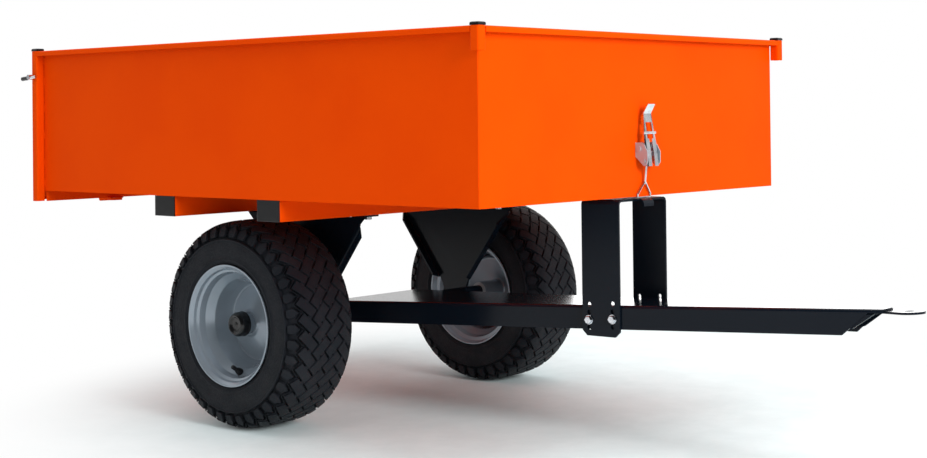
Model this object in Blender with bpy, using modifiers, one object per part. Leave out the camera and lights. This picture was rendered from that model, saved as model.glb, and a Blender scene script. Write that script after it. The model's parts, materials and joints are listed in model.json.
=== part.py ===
"""Garden trailer: a tipping steel box with a drop tailgate on a two-wheeled drawbar chassis.

Metres, +Z up, +X towards the hitch, +Y to the trailer's left. The ground is z = 0 and the
origin lies under the middle of the whole length. Sizes that can be set by themselves stand
first; every other size and place is worked out from them and from the named clearances.
"""

import math

import bmesh
import bpy
from mathutils import Matrix, Vector

# Clearances
CLEAR = 0.0003            # between pieces that seat on each other
RUNNING = 0.0008          # round pins, in bores and beside moving sheets

# Box
BOX_LENGTH = 1.264
BOX_WIDTH = 0.926
BOX_FLOOR_Z = 0.4515      # underside of the floor
WALL_HEIGHT = 0.3015
SHEET = 0.002
FOLD_RADIUS = 0.003
RIM_FOLD = 0.0015         # folds of the side and front panels
RIM = 0.0195              # how far the folded rim stands out
RIM_LIP = 0.0105
FLOOR_FLANGE = 0.025
SILL_DEPTH = 0.0225
CORNER_RELIEF = 0.007
TUBE_WALL = 0.002
CAP_HEIGHT = 0.0057
CROSS_CAP = 0.002
PLUG_DEPTH = 0.012
PLUG_CLEAR = 0.0013       # beside the rounded corners inside a tube
CAP_ROUND = 0.0025
CORNER_TUBE_LENGTH = 0.041
POST_DROP = 0.022         # how far the rear posts reach below the floor

# Cross tubes and axle brackets
CROSS_WIDTH = 0.062
CROSS_HEIGHT = 0.040
CROSS_SPACING = 0.309
BRACKET_PLATE = 0.004
BRACKET_FACE = 0.229      # outer face from the middle plane
BRACKET_END_RADIUS = 0.035
BRACKET_SHOULDER = 0.0235 # top corner beyond the cross tube's middle
BRACKET_WAIST_HALF = 0.0345
BRACKET_WAIST_RISE = 0.0188
BRACKET_FLANGE = 0.022
BRACKET_FLANGE_LOW = 0.035
BRACKET_FLANGE_HIGH = 0.187
BRACKET_CHAMFER = 0.025
BRACKET_FOLD = 0.0055
TAB_WIDTH = 0.036
TAB_LENGTH = 0.040
TAB_BOLT_INSET = 0.0285

# Tailgate
TAILGATE_LOW = 0.0188     # lower edge below the floor's underside
TAILGATE_LIP = 0.015
TAILGATE_SIDE_LIP = 0.004 # side lips stop short of the pan's rear edge
HINGE_SPREAD = 0.5755     # between the two hinges
HINGE_WIDTH = 0.032
HINGE_BACK = 0.005        # axis behind the box's rear edge
HINGE_DROP = 0.025        # axis below the floor's underside
KNUCKLE_RADIUS = 0.0055
KNUCKLE_WIDTH = 0.012
HINGE_PIN_RADIUS = 0.0025
HINGE_PLATE = 0.0025
LEAF_HEIGHT = 0.026
STRAP_THICKNESS = 0.0055
STRAP_LENGTH = 0.044
STRAP_CHAMFER = 0.006
LEAF_CHAMFER = 0.004

# Locking pins
PIN_DROP = 0.056          # axis below the rim
PIN_RADIUS = 0.004
PIN_OUT = 0.006           # drawn out at rest, just clear of the tailgate
PIN_COLLAR_RADIUS = 0.0055
PIN_HANDLE_RADIUS = 0.003
PIN_HANDLE_FORE = 0.024
PIN_HANDLE_AFT = 0.023
PIN_GRIP_RADIUS = 0.0045
PIN_GRIP_LENGTH = 0.021
PIN_GRIP_OVER = 0.004     # sleeve beyond the handle's end
PIN_HANDLE_DROP = 0.0015  # handle below the shank, and lower again at its grip
PIN_HANDLE_FALL = 0.0035

# Drawbar and hitch tongue
AXLE_BACK = 0.6755        # axle behind the box front
BAR_REAR_BACK = 0.703
BAR_NOSE = 0.489
BAR_BEND_FORE = 0.020     # bend of the sides ahead of the box front
BAR_HALF_REAR = 0.1325
BAR_HALF_BEND = 0.0705
BAR_HALF_NOSE = 0.0207
BAR_TOP_REAR = 0.2206
BAR_TOP_NOSE = 0.2793
BAR_FLANGE = 0.0438
BAR_SHEET = 0.003
BAR_FOLD = 0.005
BAR_CUT_LOW = 0.069       # slanted flange end behind the nose, bottom and top
BAR_CUT_HIGH = 0.024
BAR_LIP = 0.006           # flange left along the nose
TONGUE_PLATE = 0.004
TONGUE_LENGTH = 0.3335
TONGUE_AHEAD = 0.0645     # tip ahead of the drawbar's nose
TONGUE_HEAD_RADIUS = 0.0255
TONGUE_FLANGE = 0.030
TONGUE_CUT_LOW = 0.052
TONGUE_CUT_HIGH = 0.008
TONGUE_FOLD = 0.006
TONGUE_RELIEF = 0.007     # notch at the end of each fold
HITCH_HOLE_RADIUS = 0.009

# Front support
SUPPORT_WIDTH = 0.080
SUPPORT_BACK = 0.040      # middle of the legs behind the box front
SUPPORT_PLATE = 0.004
SUPPORT_TOP_GAP = 0.004   # top web under the box
SUPPORT_FOOT_Z = 0.1965
SUPPORT_CHAMFER = 0.010
SUPPORT_FOLD = 0.005
HOLE_RADIUS = 0.0045
HOLE_SPREAD = 0.050
HOLE_PITCH = 0.0142
HOLE_ROWS = 4
BOLT_ROW = 2              # counted from the top
TOP_HOLE_Z = 0.2540
HOLE_RISE = 1.6           # slope of the hole rows against the drawbar's
HOOK_WIDTH = 0.032
HOOK_REACH = 0.0145       # front face of the hook ahead of the box front
HOOK_DROP = 0.014

# Bolts
BOLT_RADIUS = 0.004
BOLT_HEAD_FLATS = 0.013
BOLT_HEAD_HEIGHT = 0.0053
NUT_HEIGHT = 0.0065
BOLT_END = 0.002

# Wheels
WHEEL_TRACK = 0.710
TYRE_RADIUS = 0.2025
TYRE_HALF_WIDTH = 0.080
TYRE_WALL = 0.0055
RIM_RADIUS = 0.118
RIM_HALF_WIDTH = 0.080
RIM_SHEET = 0.0025
BEAD_RADIUS = 0.100
DISC_RADIUS = 0.075
HUB_RADIUS = 0.0205
HUB_IN = 0.045            # hub sleeve inboard and outboard of the wheel's middle
HUB_OUT = 0.042
BUSH_WALL = 0.0045
BUSH_LIP = 0.002
AXLE_RADIUS = 0.010
AXLE_BEYOND = 0.055       # axle end outboard of the wheel's middle
SLEEVE_WALL = 0.003
HUB_CAP_RADIUS = 0.0238
HUB_CAP_WALL = 0.0025
HUB_CAP_LENGTH = 0.022
HUB_CAP_END = 0.061
SPLIT_PIN_RADIUS = 0.0018
SPLIT_PIN_HALF = 0.015
WHEEL_STEPS = 36          # flats round the tyre and rim, alike so that they seat
VALVE_RADIUS = 0.005
VALVE_UP = 0.0065         # valve seat outside the rim's well
VALVE_TILT = 57.0         # degrees from the wheel's plane
VALVE_LENGTH = 0.024

# Latch
LATCH_PIVOT_OUT = 0.018
LATCH_PIVOT_Z = 0.5175
LATCH_CRANK = 0.020       # pull-rod pivot from the lever's pivot
LATCH_CRANK_BACK = 0.0065
LATCH_PLATE = 0.002
LATCH_BASE_HALF = 0.0215
LATCH_BASE_LOW = 0.007    # lower and upper edge above the pivot
LATCH_BASE_HIGH = 0.034
LATCH_EAR_CHAMFER = 0.004
LATCH_EAR_RIVET_BACK = 0.0095
LATCH_EAR_RIVET_UP = 0.0226
LATCH_EAR_RADIUS = 0.009
LATCH_RIVET_RADIUS = 0.0045
LATCH_RIVET_HEIGHT = 0.0018
LATCH_STUB_RADIUS = 0.0028
LEVER_HALF = 0.0182
LEVER_RADIUS = 0.009
LEVER_TOP = 0.0875        # thumb bend above the pivot
LEVER_FRONT = 0.0085      # web ahead of the pivot at its foot
LEVER_FOOT = 0.0095
LEVER_KNEE = 0.010
LEVER_BACK = 0.0055       # thumb bend behind the pivot
LEVER_THUMB_FORE = 0.005
LEVER_BEND = 0.034        # cheeks lean in above this height over the pivot
LEVER_DEPTH = 0.0065      # cheeks behind the web, above the bend
LEVER_TOP_HALF = 0.0124
LEVER_THUMB_HALF = 0.0112
LEVER_THUMB = 0.0175
LEVER_FOLD = 0.0025
LEVER_SLOT_HALF = 0.0045
LEVER_SLOT_LOW = -0.013   # open at the lever's foot, where the rod swings through
LEVER_WINDOW_HALF = 0.0095
LEVER_WINDOW_LOW = 0.041
LEVER_WINDOW_HIGH = 0.0715
CROSS_PIN_RADIUS = 0.003
CROSS_PIN_UP = 0.052
TRUNNION_RADIUS = 0.005
ROD_RADIUS = 0.0025
ROD_LENGTH = 0.058
ROD_AXLE_RADIUS = 0.0022
RING_WIRE_RADIUS = 0.002
RING_HALF = 0.020
RING_SHOULDER = 0.006
RING_APEX_HALF = 0.002

# Derived places
HANDLE_TILT = math.atan(PIN_HANDLE_FALL / (PIN_HANDLE_FORE + PIN_HANDLE_AFT))
HANDLE_REACH = (PIN_HANDLE_AFT + PIN_GRIP_OVER * math.cos(HANDLE_TILT)
                + PIN_GRIP_RADIUS * math.sin(HANDLE_TILT))
TONGUE_NOSE = BAR_NOSE + TONGUE_AHEAD
REARMOST = max(BOX_LENGTH - RIM / 2 + HANDLE_REACH, BOX_LENGTH + HINGE_BACK + KNUCKLE_RADIUS)
FRONT_X = (REARMOST - TONGUE_NOSE) / 2
REAR_X = FRONT_X - BOX_LENGTH
AXLE_X = FRONT_X - AXLE_BACK
AXLE_Z = TYRE_RADIUS
HALF_WIDTH = BOX_WIDTH / 2
BOX_TOP = BOX_FLOOR_Z + WALL_HEIGHT
INNER_HALF = HALF_WIDTH - SHEET - CLEAR
TAILGATE_FRONT_X = REAR_X + RIM
POST_X = REAR_X + RIM / 2
HINGE_X = REAR_X - HINGE_BACK
HINGE_Z = BOX_FLOOR_Z - HINGE_DROP
PIN_Z = BOX_TOP - PIN_DROP
CROSS_TOP = BOX_FLOOR_Z - CLEAR
CROSS_LOW = CROSS_TOP - CROSS_HEIGHT
BRACKET_TOP_Z = CROSS_LOW - CLEAR
BRACKET_TOP_HALF = CROSS_SPACING / 2 + BRACKET_SHOULDER
SUPPORT_TOP = BOX_FLOOR_Z - SUPPORT_TOP_GAP
SUPPORT_X = FRONT_X - SUPPORT_BACK
WHEEL_Y = WHEEL_TRACK / 2
AXLE_HALF = WHEEL_Y + AXLE_BEYOND
BEND_X = FRONT_X + BAR_BEND_FORE
REAR_RUN = BAR_REAR_BACK + BAR_BEND_FORE
NOSE_RUN = BAR_NOSE - BAR_BEND_FORE

SIDES = (("right", -1.0), ("left", 1.0))
RED_ORANGE = (0.83, 0.070, 0.004, 1.0)
BLACK = (0.012, 0.015, 0.020, 1.0)
PLASTIC = (0.010, 0.010, 0.012, 1.0)
ZINC = (0.62, 0.64, 0.66, 1.0)
SILVER = (0.36, 0.40, 0.44, 1.0)
RUBBER = (0.022, 0.022, 0.025, 1.0)
BUSH_GREY = (0.30, 0.30, 0.31, 1.0)

FINISHES = {
    "box_paint": (RED_ORANGE, 0.0, 0.32),
    "frame_paint": (BLACK, 0.0, 0.18),
    "cap_plastic": (PLASTIC, 0.0, 0.45),
    "zinc": (ZINC, 1.0, 0.30),
    "rim_silver": (SILVER, 0.6, 0.35),
    "tyre": (RUBBER, 0.0, 0.75),
    "valve_rubber": (RUBBER, 0.0, 0.60),
    "bush": (BUSH_GREY, 0.0, 0.50),
}


def bar_share(x):
    """Share of the way from the drawbar's rear end to its nose."""
    return (x - FRONT_X + BAR_REAR_BACK) / (BAR_REAR_BACK + BAR_NOSE)


def bar_half(x):
    """Half width of the drawbar, whose sides bend in a little ahead of the box."""
    if x < BEND_X:
        return BAR_HALF_BEND + (BAR_HALF_REAR - BAR_HALF_BEND) * (BEND_X - x) / REAR_RUN
    return BAR_HALF_BEND + (BAR_HALF_NOSE - BAR_HALF_BEND) * (x - BEND_X) / NOSE_RUN


def bar_top(x):
    """Top of the rising drawbar at a place along the trailer."""
    return BAR_TOP_REAR + (BAR_TOP_NOSE - BAR_TOP_REAR) * bar_share(x)


BAR_SLOPE = math.atan((BAR_TOP_NOSE - BAR_TOP_REAR) / (BAR_REAR_BACK + BAR_NOSE))
BAR_TAPER = math.atan((BAR_HALF_REAR - BAR_HALF_BEND) / REAR_RUN)
NOSE_TAPER = math.atan((BAR_HALF_BEND - BAR_HALF_NOSE) / NOSE_RUN)


def clear_file():
    """Start from an empty file."""
    for obj in list(bpy.data.objects):
        bpy.data.objects.remove(obj, do_unlink=True)
    for group in list(bpy.data.collections):
        bpy.data.collections.remove(group)


def group_named(name):
    """Return the collection of that name, made if it is new."""
    group = bpy.data.collections.get(name)
    if group is None:
        group = bpy.data.collections.new(name)
        bpy.context.scene.collection.children.link(group)
    return group


def place(obj, name, group):
    """Name an object and keep it in one collection only."""
    for old in list(obj.users_collection):
        old.objects.unlink(obj)
    group_named(group).objects.link(obj)
    obj.name = name
    obj.data.name = name
    return obj


def finish(obj, name, slot):
    """Make an object a named piece of the trailer with its own material."""
    place(obj, name, "garden_trailer")
    colour, metallic, roughness = FINISHES[slot]
    material = bpy.data.materials.new(name + "_" + slot)
    material.use_nodes = True
    shader = material.node_tree.nodes["Principled BSDF"]
    shader.inputs["Base Color"].default_value = colour
    shader.inputs["Metallic"].default_value = metallic
    shader.inputs["Roughness"].default_value = roughness
    material.diffuse_color = colour
    obj.data.materials.clear()
    obj.data.materials.append(material)
    obj.data.shade_smooth()
    obj.data.set_sharp_from_angle(angle=math.radians(35))
    return obj


def from_bmesh(bm, matrix=None):
    """Turn a bmesh into an object, moved by a matrix."""
    mesh = bpy.data.meshes.new("piece")
    bm.to_mesh(mesh)
    bm.free()
    obj = bpy.data.objects.new("piece", mesh)
    if matrix is not None:
        obj.matrix_world = matrix
    bpy.context.scene.collection.objects.link(obj)
    return obj


def block(size, centre, matrix=None):
    """A plain block."""
    bm = bmesh.new()
    bmesh.ops.create_cube(bm, size=1.0)
    bmesh.ops.scale(bm, vec=Vector(size), verts=bm.verts)
    bmesh.ops.translate(bm, vec=Vector(centre), verts=bm.verts)
    return from_bmesh(bm, matrix)


def rod(radius, start, end, segments=24):
    """A round or many-sided bar between two points."""
    start, end = Vector(start), Vector(end)
    bm = bmesh.new()
    bmesh.ops.create_cone(bm, cap_ends=True, segments=segments, radius1=radius,
                          radius2=radius, depth=(end - start).length)
    turn = (end - start).to_track_quat("Z", "Y").to_matrix().to_4x4()
    return from_bmesh(bm, Matrix.Translation((start + end) / 2) @ turn)


def turned(profile, matrix, steps=48):
    """Revolve a closed outline of (radius, height) about the local Z axis."""
    bm = bmesh.new()
    points = [bm.verts.new((radius, 0.0, height)) for radius, height in profile]
    for point, following in zip(points, points[1:]):
        bm.edges.new((point, following))
    if profile[0][0] > 0.0:
        bm.edges.new((points[-1], points[0]))
    obj = from_bmesh(bm, matrix)
    screw = obj.modifiers.new("turn", "SCREW")
    screw.axis = "Z"
    screw.angle = math.tau
    screw.steps = steps
    screw.render_steps = steps
    screw.use_merge_vertices = True
    screw.merge_threshold = 0.00001
    return obj


def flat(outline, thickness, matrix):
    """A flat plate: an outline in the local XY plane, centred on its thickness."""
    curve = bpy.data.curves.new("outline", "CURVE")
    curve.dimensions = "2D"
    curve.fill_mode = "BOTH"
    curve.extrude = thickness / 2
    line = curve.splines.new("POLY")
    line.points.add(len(outline) - 1)
    for point, (x, y) in zip(line.points, outline):
        point.co = (x, y, 0.0, 1.0)
    line.use_cyclic_u = True
    return solid_of_curve(curve, matrix)


def wire(points, radius, cyclic=False, resolution=2):
    """A round wire along a line of points."""
    curve = bpy.data.curves.new("wire", "CURVE")
    curve.dimensions = "3D"
    curve.bevel_depth = radius
    curve.bevel_resolution = resolution
    curve.use_fill_caps = True
    line = curve.splines.new("POLY")
    line.points.add(len(points) - 1)
    for point, co in zip(line.points, points):
        point.co = (*co, 1.0)
    line.use_cyclic_u = cyclic
    return solid_of_curve(curve, Matrix.Identity(4))


def solid_of_curve(curve, matrix):
    """Make a curve into a closed mesh object."""
    source = bpy.data.objects.new("curve", curve)
    bpy.context.scene.collection.objects.link(source)
    bpy.context.view_layer.update()
    depsgraph = bpy.context.evaluated_depsgraph_get()
    mesh = bpy.data.meshes.new_from_object(source.evaluated_get(depsgraph))
    bm = bmesh.new()
    bm.from_mesh(mesh)
    bmesh.ops.remove_doubles(bm, verts=bm.verts, dist=0.00001)
    bmesh.ops.dissolve_limit(bm, angle_limit=0.001, verts=bm.verts, edges=bm.edges)
    bmesh.ops.recalc_face_normals(bm, faces=bm.faces)
    bpy.data.objects.remove(source, do_unlink=True)
    bpy.data.meshes.remove(mesh)
    return from_bmesh(bm, matrix)


def sheet(points, faces, grow_to, thickness, fold=0.0):
    """Folded sheet: open faces with rounded folds, thickened towards a point."""
    bm = bmesh.new()
    corners = [bm.verts.new(point) for point in points]
    made = [bm.faces.new([corners[i] for i in face]) for face in faces]
    bmesh.ops.recalc_face_normals(bm, faces=bm.faces)
    made[0].normal_update()
    if (Vector(grow_to) - made[0].calc_center_median()).dot(made[0].normal) < 0:
        bmesh.ops.reverse_faces(bm, faces=bm.faces)
    obj = from_bmesh(bm)
    if fold:
        round_over(obj, fold, 2)
    thicken = obj.modifiers.new("thickness", "SOLIDIFY")
    thicken.thickness = thickness
    thicken.offset = 1.0
    thicken.use_even_offset = True
    return obj


def round_over(obj, width, segments=2):
    """Round the folds or edges of a piece."""
    bevel = obj.modifiers.new("round", "BEVEL")
    bevel.width = width
    bevel.segments = segments
    bevel.limit_method = "ANGLE"
    bevel.angle_limit = math.radians(30)
    return obj


def combine(obj, tool, operation):
    """Cut or fuse with another solid, kept out of sight."""
    place(tool, tool.name, "shaping_tools")
    tool.hide_render = True
    tool.display_type = "WIRE"
    step = obj.modifiers.new(operation.lower(), "BOOLEAN")
    step.operation = operation
    step.solver = "EXACT"
    step.object = tool
    return obj


def cut(obj, *tools):
    """Cut solids out of a piece."""
    for tool in tools:
        combine(obj, tool, "DIFFERENCE")
    return obj


def fuse(obj, *tools):
    """Fuse solids to a piece."""
    for tool in tools:
        combine(obj, tool, "UNION")
    return obj


def outward(side, centre):
    """Frame with local Z pointing out along the axle on one side."""
    return Matrix.Translation(centre) @ Matrix.Rotation(-side * math.pi / 2, 4, "X")


def square_tube(low, high, axis, wall):
    """Hollow tube that fills a box, open along one axis."""
    low, high = Vector(low), Vector(high)
    a, b = [i for i in range(3) if i != axis]
    points = []
    for end in (low[axis], high[axis]):
        for first, second in ((low[a], low[b]), (high[a], low[b]),
                              (high[a], high[b]), (low[a], high[b])):
            point = [0.0, 0.0, 0.0]
            point[axis], point[a], point[b] = end, first, second
            points.append(point)
    faces = [(i, (i + 1) % 4, (i + 1) % 4 + 4, i + 4) for i in range(4)]
    return sheet(points, faces, (low + high) / 2, wall, FOLD_RADIUS)


def plug_cap(size_x, size_y, height, wall, matrix):
    """Plastic cap along local +Z with a plug that enters its tube."""
    bm = bmesh.new()
    bmesh.ops.create_cube(bm, size=1.0)
    bmesh.ops.scale(bm, vec=(size_x, size_y, height), verts=bm.verts)
    bmesh.ops.translate(bm, vec=(0, 0, height / 2 + CLEAR), verts=bm.verts)
    base = [face for face in bm.faces if face.normal.z < -0.5]
    bmesh.ops.inset_region(bm, faces=base, thickness=wall + PLUG_CLEAR, use_even_offset=True)
    plug = bmesh.ops.extrude_discrete_faces(bm, faces=base)["faces"]
    bmesh.ops.translate(bm, vec=(0, 0, -PLUG_DEPTH), verts=plug[0].verts)
    crown = [edge for edge in bm.edges if min(v.co.z for v in edge.verts) > height / 2]
    bmesh.ops.bevel(bm, geom=crown, offset=min(CAP_ROUND, height / 2), segments=2,
                    profile=0.5, affect="EDGES")
    return from_bmesh(bm, matrix)


def bolt(grip, matrix, segments=12):
    """Hexagon bolt with its nut: head above local z = 0, nut below -grip."""
    across = BOLT_HEAD_FLATS / math.sqrt(3)
    head = rod(across, (0, 0, CLEAR), (0, 0, CLEAR + BOLT_HEAD_HEIGHT), 6)
    shank = rod(BOLT_RADIUS, (0, 0, -grip - NUT_HEIGHT - BOLT_END), (0, 0, 0.002), segments)
    nut = rod(across, (0, 0, -grip - CLEAR - NUT_HEIGHT), (0, 0, -grip - CLEAR), 6)
    for obj in (head, shank, nut):
        obj.matrix_world = matrix @ obj.matrix_world
    return fuse(head, shank, nut)


def leg_frame(side, column, row):
    """Frame at one hole on a support leg's outer face, local Z square to the leg."""
    x = SUPPORT_X + column * HOLE_SPREAD
    y = side * (bar_half(x) + CLEAR + SUPPORT_PLATE / math.cos(BAR_TAPER))
    frame = outward(side, (x, y, hole_z(column, row)))
    return frame @ Matrix.Rotation(BAR_TAPER, 4, "Y")


def flange_hole_cutters(radius, rows):
    """Bars at the height holes of the support, square to its legs."""
    cutters = []
    for _, side in SIDES:
        for column in (-0.5, 0.5):
            for row in rows:
                frame = leg_frame(side, column, row)
                deep, near = frame @ Vector((0, 0, -0.02)), frame @ Vector((0, 0, 0.01))
                cutters.append(rod(radius, deep, near, 12))
    return cutters


def hole_z(column, row):
    """Height of one hole; the columns follow the drawbar's slope."""
    return TOP_HOLE_Z + (column + 0.5) * HOLE_SPREAD * math.tan(BAR_SLOPE) * HOLE_RISE - row * HOLE_PITCH


def build_drawbar():
    """Tapered channel, open below, with slanted flange ends."""
    rear = FRONT_X - BAR_REAR_BACK
    nose = FRONT_X + BAR_NOSE
    points = []
    for side in (-1, 1):
        outline = ((rear, 0.0), (BEND_X, 0.0), (nose, 0.0), (nose, BAR_LIP),
                   (nose - BAR_CUT_HIGH, BAR_LIP), (nose - BAR_CUT_LOW, BAR_FLANGE),
                   (BEND_X, BAR_FLANGE), (rear, BAR_FLANGE))
        points += [(x, side * bar_half(x), bar_top(x) - depth) for x, depth in outline]
    faces = [(0, 1, 2, 10, 9, 8), (0, 1, 6, 7), (1, 2, 3, 4, 5, 6), (8, 9, 14, 15),
             (9, 10, 11, 12, 13, 14)]
    obj = sheet(points, faces, (AXLE_X, 0, 0), BAR_SHEET, BAR_FOLD)
    cut(obj, rod(AXLE_RADIUS + CLEAR, (AXLE_X, -0.2, AXLE_Z), (AXLE_X, 0.2, AXLE_Z), 32))
    cut(obj, *flange_hole_cutters(HOLE_RADIUS, [BOLT_ROW]))
    return finish(obj, "drawbar", "frame_paint")


def build_tongue():
    """Hitch plate nested under the channel's nose, with a round head and pin hole."""
    inset = BAR_SHEET + CLEAR
    tip = FRONT_X + TONGUE_NOSE
    rear = tip - TONGUE_LENGTH
    fold_end = FRONT_X + BAR_NOSE - TONGUE_CUT_HIGH
    low = FRONT_X + BAR_NOSE - TONGUE_CUT_LOW
    head_x = tip - TONGUE_HEAD_RADIUS

    def top(x):
        return bar_top(x) - inset / math.cos(BAR_SLOPE)

    def half(x):
        return bar_half(x) - inset / math.cos(NOSE_TAPER)

    points = []
    for side in (-1, 1):
        points += [(x, side * half(x), top(x)) for x in (rear, fold_end)]
        points += [(x, side * half(x), top(x) - TONGUE_FLANGE) for x in (rear, low)]
    notch = (fold_end, fold_end + TONGUE_RELIEF / 2)
    for side in (-1, 1):
        deep = side * (half(fold_end) - TONGUE_RELIEF)
        points += [(x, deep, top(x)) for x in notch]
        points += [(x, side * (half(x) - BAR_SHEET), top(x))
                   for x in (notch[1], FRONT_X + BAR_NOSE + CLEAR)]
    start = len(points)
    arc = 14
    for i in range(arc + 1):
        angle = math.radians(-112 + 224 * i / arc)
        x = head_x + TONGUE_HEAD_RADIUS * math.cos(angle)
        points.append((x, TONGUE_HEAD_RADIUS * math.sin(angle), top(x)))
    head = tuple(range(start, start + arc + 1))
    faces = [(0, 1, 8, 9, 10, 11) + head + (15, 14, 13, 12, 5, 4), (0, 2, 3, 1), (4, 5, 7, 6)]
    obj = sheet(points, faces, (head_x - 0.1, 0, 0), TONGUE_PLATE, TONGUE_FOLD)
    cut(obj, rod(HITCH_HOLE_RADIUS, (head_x, 0, 0.2), (head_x, 0, 0.4), 32))
    return finish(obj, "hitch_tongue", "frame_paint")


def build_support():
    """Upside-down U of plate that stands on the drawbar and stops the box."""
    rear = SUPPORT_X - SUPPORT_WIDTH / 2
    front = SUPPORT_X + SUPPORT_WIDTH / 2
    top = SUPPORT_TOP - SUPPORT_PLATE
    foot = SUPPORT_FOOT_Z
    points = []
    for side in (-1, 1):
        outline = ((rear, top), (rear, foot + SUPPORT_CHAMFER), (rear + SUPPORT_CHAMFER, foot),
                   (front - SUPPORT_CHAMFER, foot), (front, foot + SUPPORT_CHAMFER), (front, top))
        points += [(x, side * (bar_half(x) + CLEAR), z) for x, z in outline]
    reach = FRONT_X + HOOK_REACH - SUPPORT_PLATE
    low = SUPPORT_TOP - HOOK_DROP
    for side in (-1, 1):
        y = side * HOOK_WIDTH / 2
        points += [(front, y, top), (reach, y, top), (reach, y, low)]
    web = (0, 5, 12, 15, 11, 6)
    faces = [web, (0, 1, 2, 3, 4, 5), (6, 7, 8, 9, 10, 11), (12, 13, 16, 15), (13, 14, 17, 16)]
    obj = sheet(points, faces, (SUPPORT_X, 0, BOX_TOP), SUPPORT_PLATE, SUPPORT_FOLD)
    cut(obj, *flange_hole_cutters(HOLE_RADIUS, range(HOLE_ROWS)))
    return finish(obj, "front_support", "frame_paint")


def build_support_bolts():
    """Four bolts with nuts through the legs and the drawbar's flanges."""
    pieces = []
    for side_name, side in SIDES:
        for column, end in ((-0.5, "rear"), (0.5, "front")):
            frame = leg_frame(side, column, BOLT_ROW)
            obj = bolt(SUPPORT_PLATE + CLEAR + BAR_SHEET, frame)
            pieces.append(finish(obj, f"support_bolt_{end}_{side_name}", "zinc"))
    return pieces


def ring_profile(inner, outer, low, high):
    """Plain tube outline: down the outer side, up the bore."""
    return [(outer, high), (outer, low), (inner, low), (inner, high)]


def build_axle():
    """Axle shaft with spacer sleeves and split pins."""
    shaft = rod(AXLE_RADIUS, (AXLE_X, -AXLE_HALF, AXLE_Z), (AXLE_X, AXLE_HALF, AXLE_Z), 24)
    round_over(shaft, 0.001, 1)
    pin_y = WHEEL_Y + HUB_OUT + BUSH_LIP + SPLIT_PIN_RADIUS + 2 * CLEAR + RUNNING
    pieces = []
    for side_name, side in SIDES:
        y = side * pin_y
        low = (AXLE_X, y, AXLE_Z - SPLIT_PIN_HALF)
        high = (AXLE_X, y, AXLE_Z + SPLIT_PIN_HALF)
        cut(shaft, rod(SPLIT_PIN_RADIUS + CLEAR, low, high, 12))
        pieces.append(finish(rod(SPLIT_PIN_RADIUS, low, high, 12),
                             f"split_pin_{side_name}", "zinc"))
        centre = outward(side, (AXLE_X, 0, AXLE_Z))
        inner = ring_profile(AXLE_RADIUS + CLEAR, AXLE_RADIUS + SLEEVE_WALL,
                             bar_half(AXLE_X) + 2 * CLEAR + 0.0015,
                             BRACKET_FACE - BRACKET_PLATE - CLEAR)
        pieces.append(finish(turned(inner, centre, 20), f"inner_sleeve_{side_name}", "frame_paint"))
        outer = ring_profile(AXLE_RADIUS + CLEAR, AXLE_RADIUS + SLEEVE_WALL,
                             BRACKET_FACE + CLEAR, WHEEL_Y - HUB_IN - BUSH_LIP - 2 * CLEAR)
        pieces.append(finish(turned(outer, centre, 20), f"outer_sleeve_{side_name}", "frame_paint"))
    pieces.append(finish(shaft, "axle", "zinc"))
    return pieces


def tyre_profile():
    """Closed outline of the tyre: tread and sidewalls, then the hollow inside."""
    r, w, t = TYRE_RADIUS, TYRE_HALF_WIDTH, TYRE_WALL
    bead = BEAD_RADIUS + RIM_SHEET
    wall = RIM_RADIUS + t
    half_out = [(r, 0.0), (r - 0.016 * w, 0.50 * w), (r - 0.044 * w, 0.69 * w),
                (r - 0.125 * w, 0.87 * w), (r - 0.28 * w, 0.98 * w), (r - 0.47 * w, w),
                (wall + t, 0.99 * w), (RIM_RADIUS + RIM_SHEET / 2, 0.94 * w), (bead + 0.55 * t, 0.785 * w)]
    half_in = [(bead + 0.15 * t, 0.66 * w), (bead + 1.2 * t, 0.68 * w), (RIM_RADIUS, 0.84 * w),
               (r - 0.50 * w, w - t), (r - 0.20 * w - t, 0.80 * w), (r - t - 0.02 * w, 0.0)]
    outer = [(radius, -y) for radius, y in half_out[:0:-1]] + half_out
    inner = half_in + [(radius, -y) for radius, y in half_in[-2::-1]]
    return list(reversed(outer + inner))


def rim_profile():
    """Closed outline of the pressed rim with its dished disc and hub sleeve."""
    r, w, t = RIM_RADIUS, RIM_HALF_WIDTH, RIM_SHEET
    b = BEAD_RADIUS
    well = b - 0.0125
    bore = AXLE_RADIUS + BUSH_WALL + 2 * CLEAR
    tyre_side = [(r, w), (r, w - t), (r - 0.006, w - 0.0098), (b + 0.0058, w - 0.0152),
                 (b + t, w - 0.0282), (well + t, w - 0.0415)]
    tyre_side += [(radius, -y) for radius, y in reversed(tyre_side)]
    inboard = [(r - t, -(w - 0.0008)), (r - 0.008, -(w - 0.008)), (b + 0.003, -(w - 0.014)),
               (b, -(w - 0.028)), (well, -(w - 0.040)), (well, w - 0.0455),
               (DISC_RADIUS - t, 0.0100), (HUB_RADIUS, 0.0205), (HUB_RADIUS, -HUB_IN),
               (bore, -HUB_IN), (bore, HUB_OUT), (HUB_RADIUS, HUB_OUT), (HUB_RADIUS, 0.023)]
    outboard = [(DISC_RADIUS, 0.0125), (well, w - 0.040), (b, w - 0.028), (b + 0.003, w - 0.014),
                (r - 0.008, w - 0.008), (r - t, w - 0.0008)]
    return tyre_side + inboard + outboard


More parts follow.
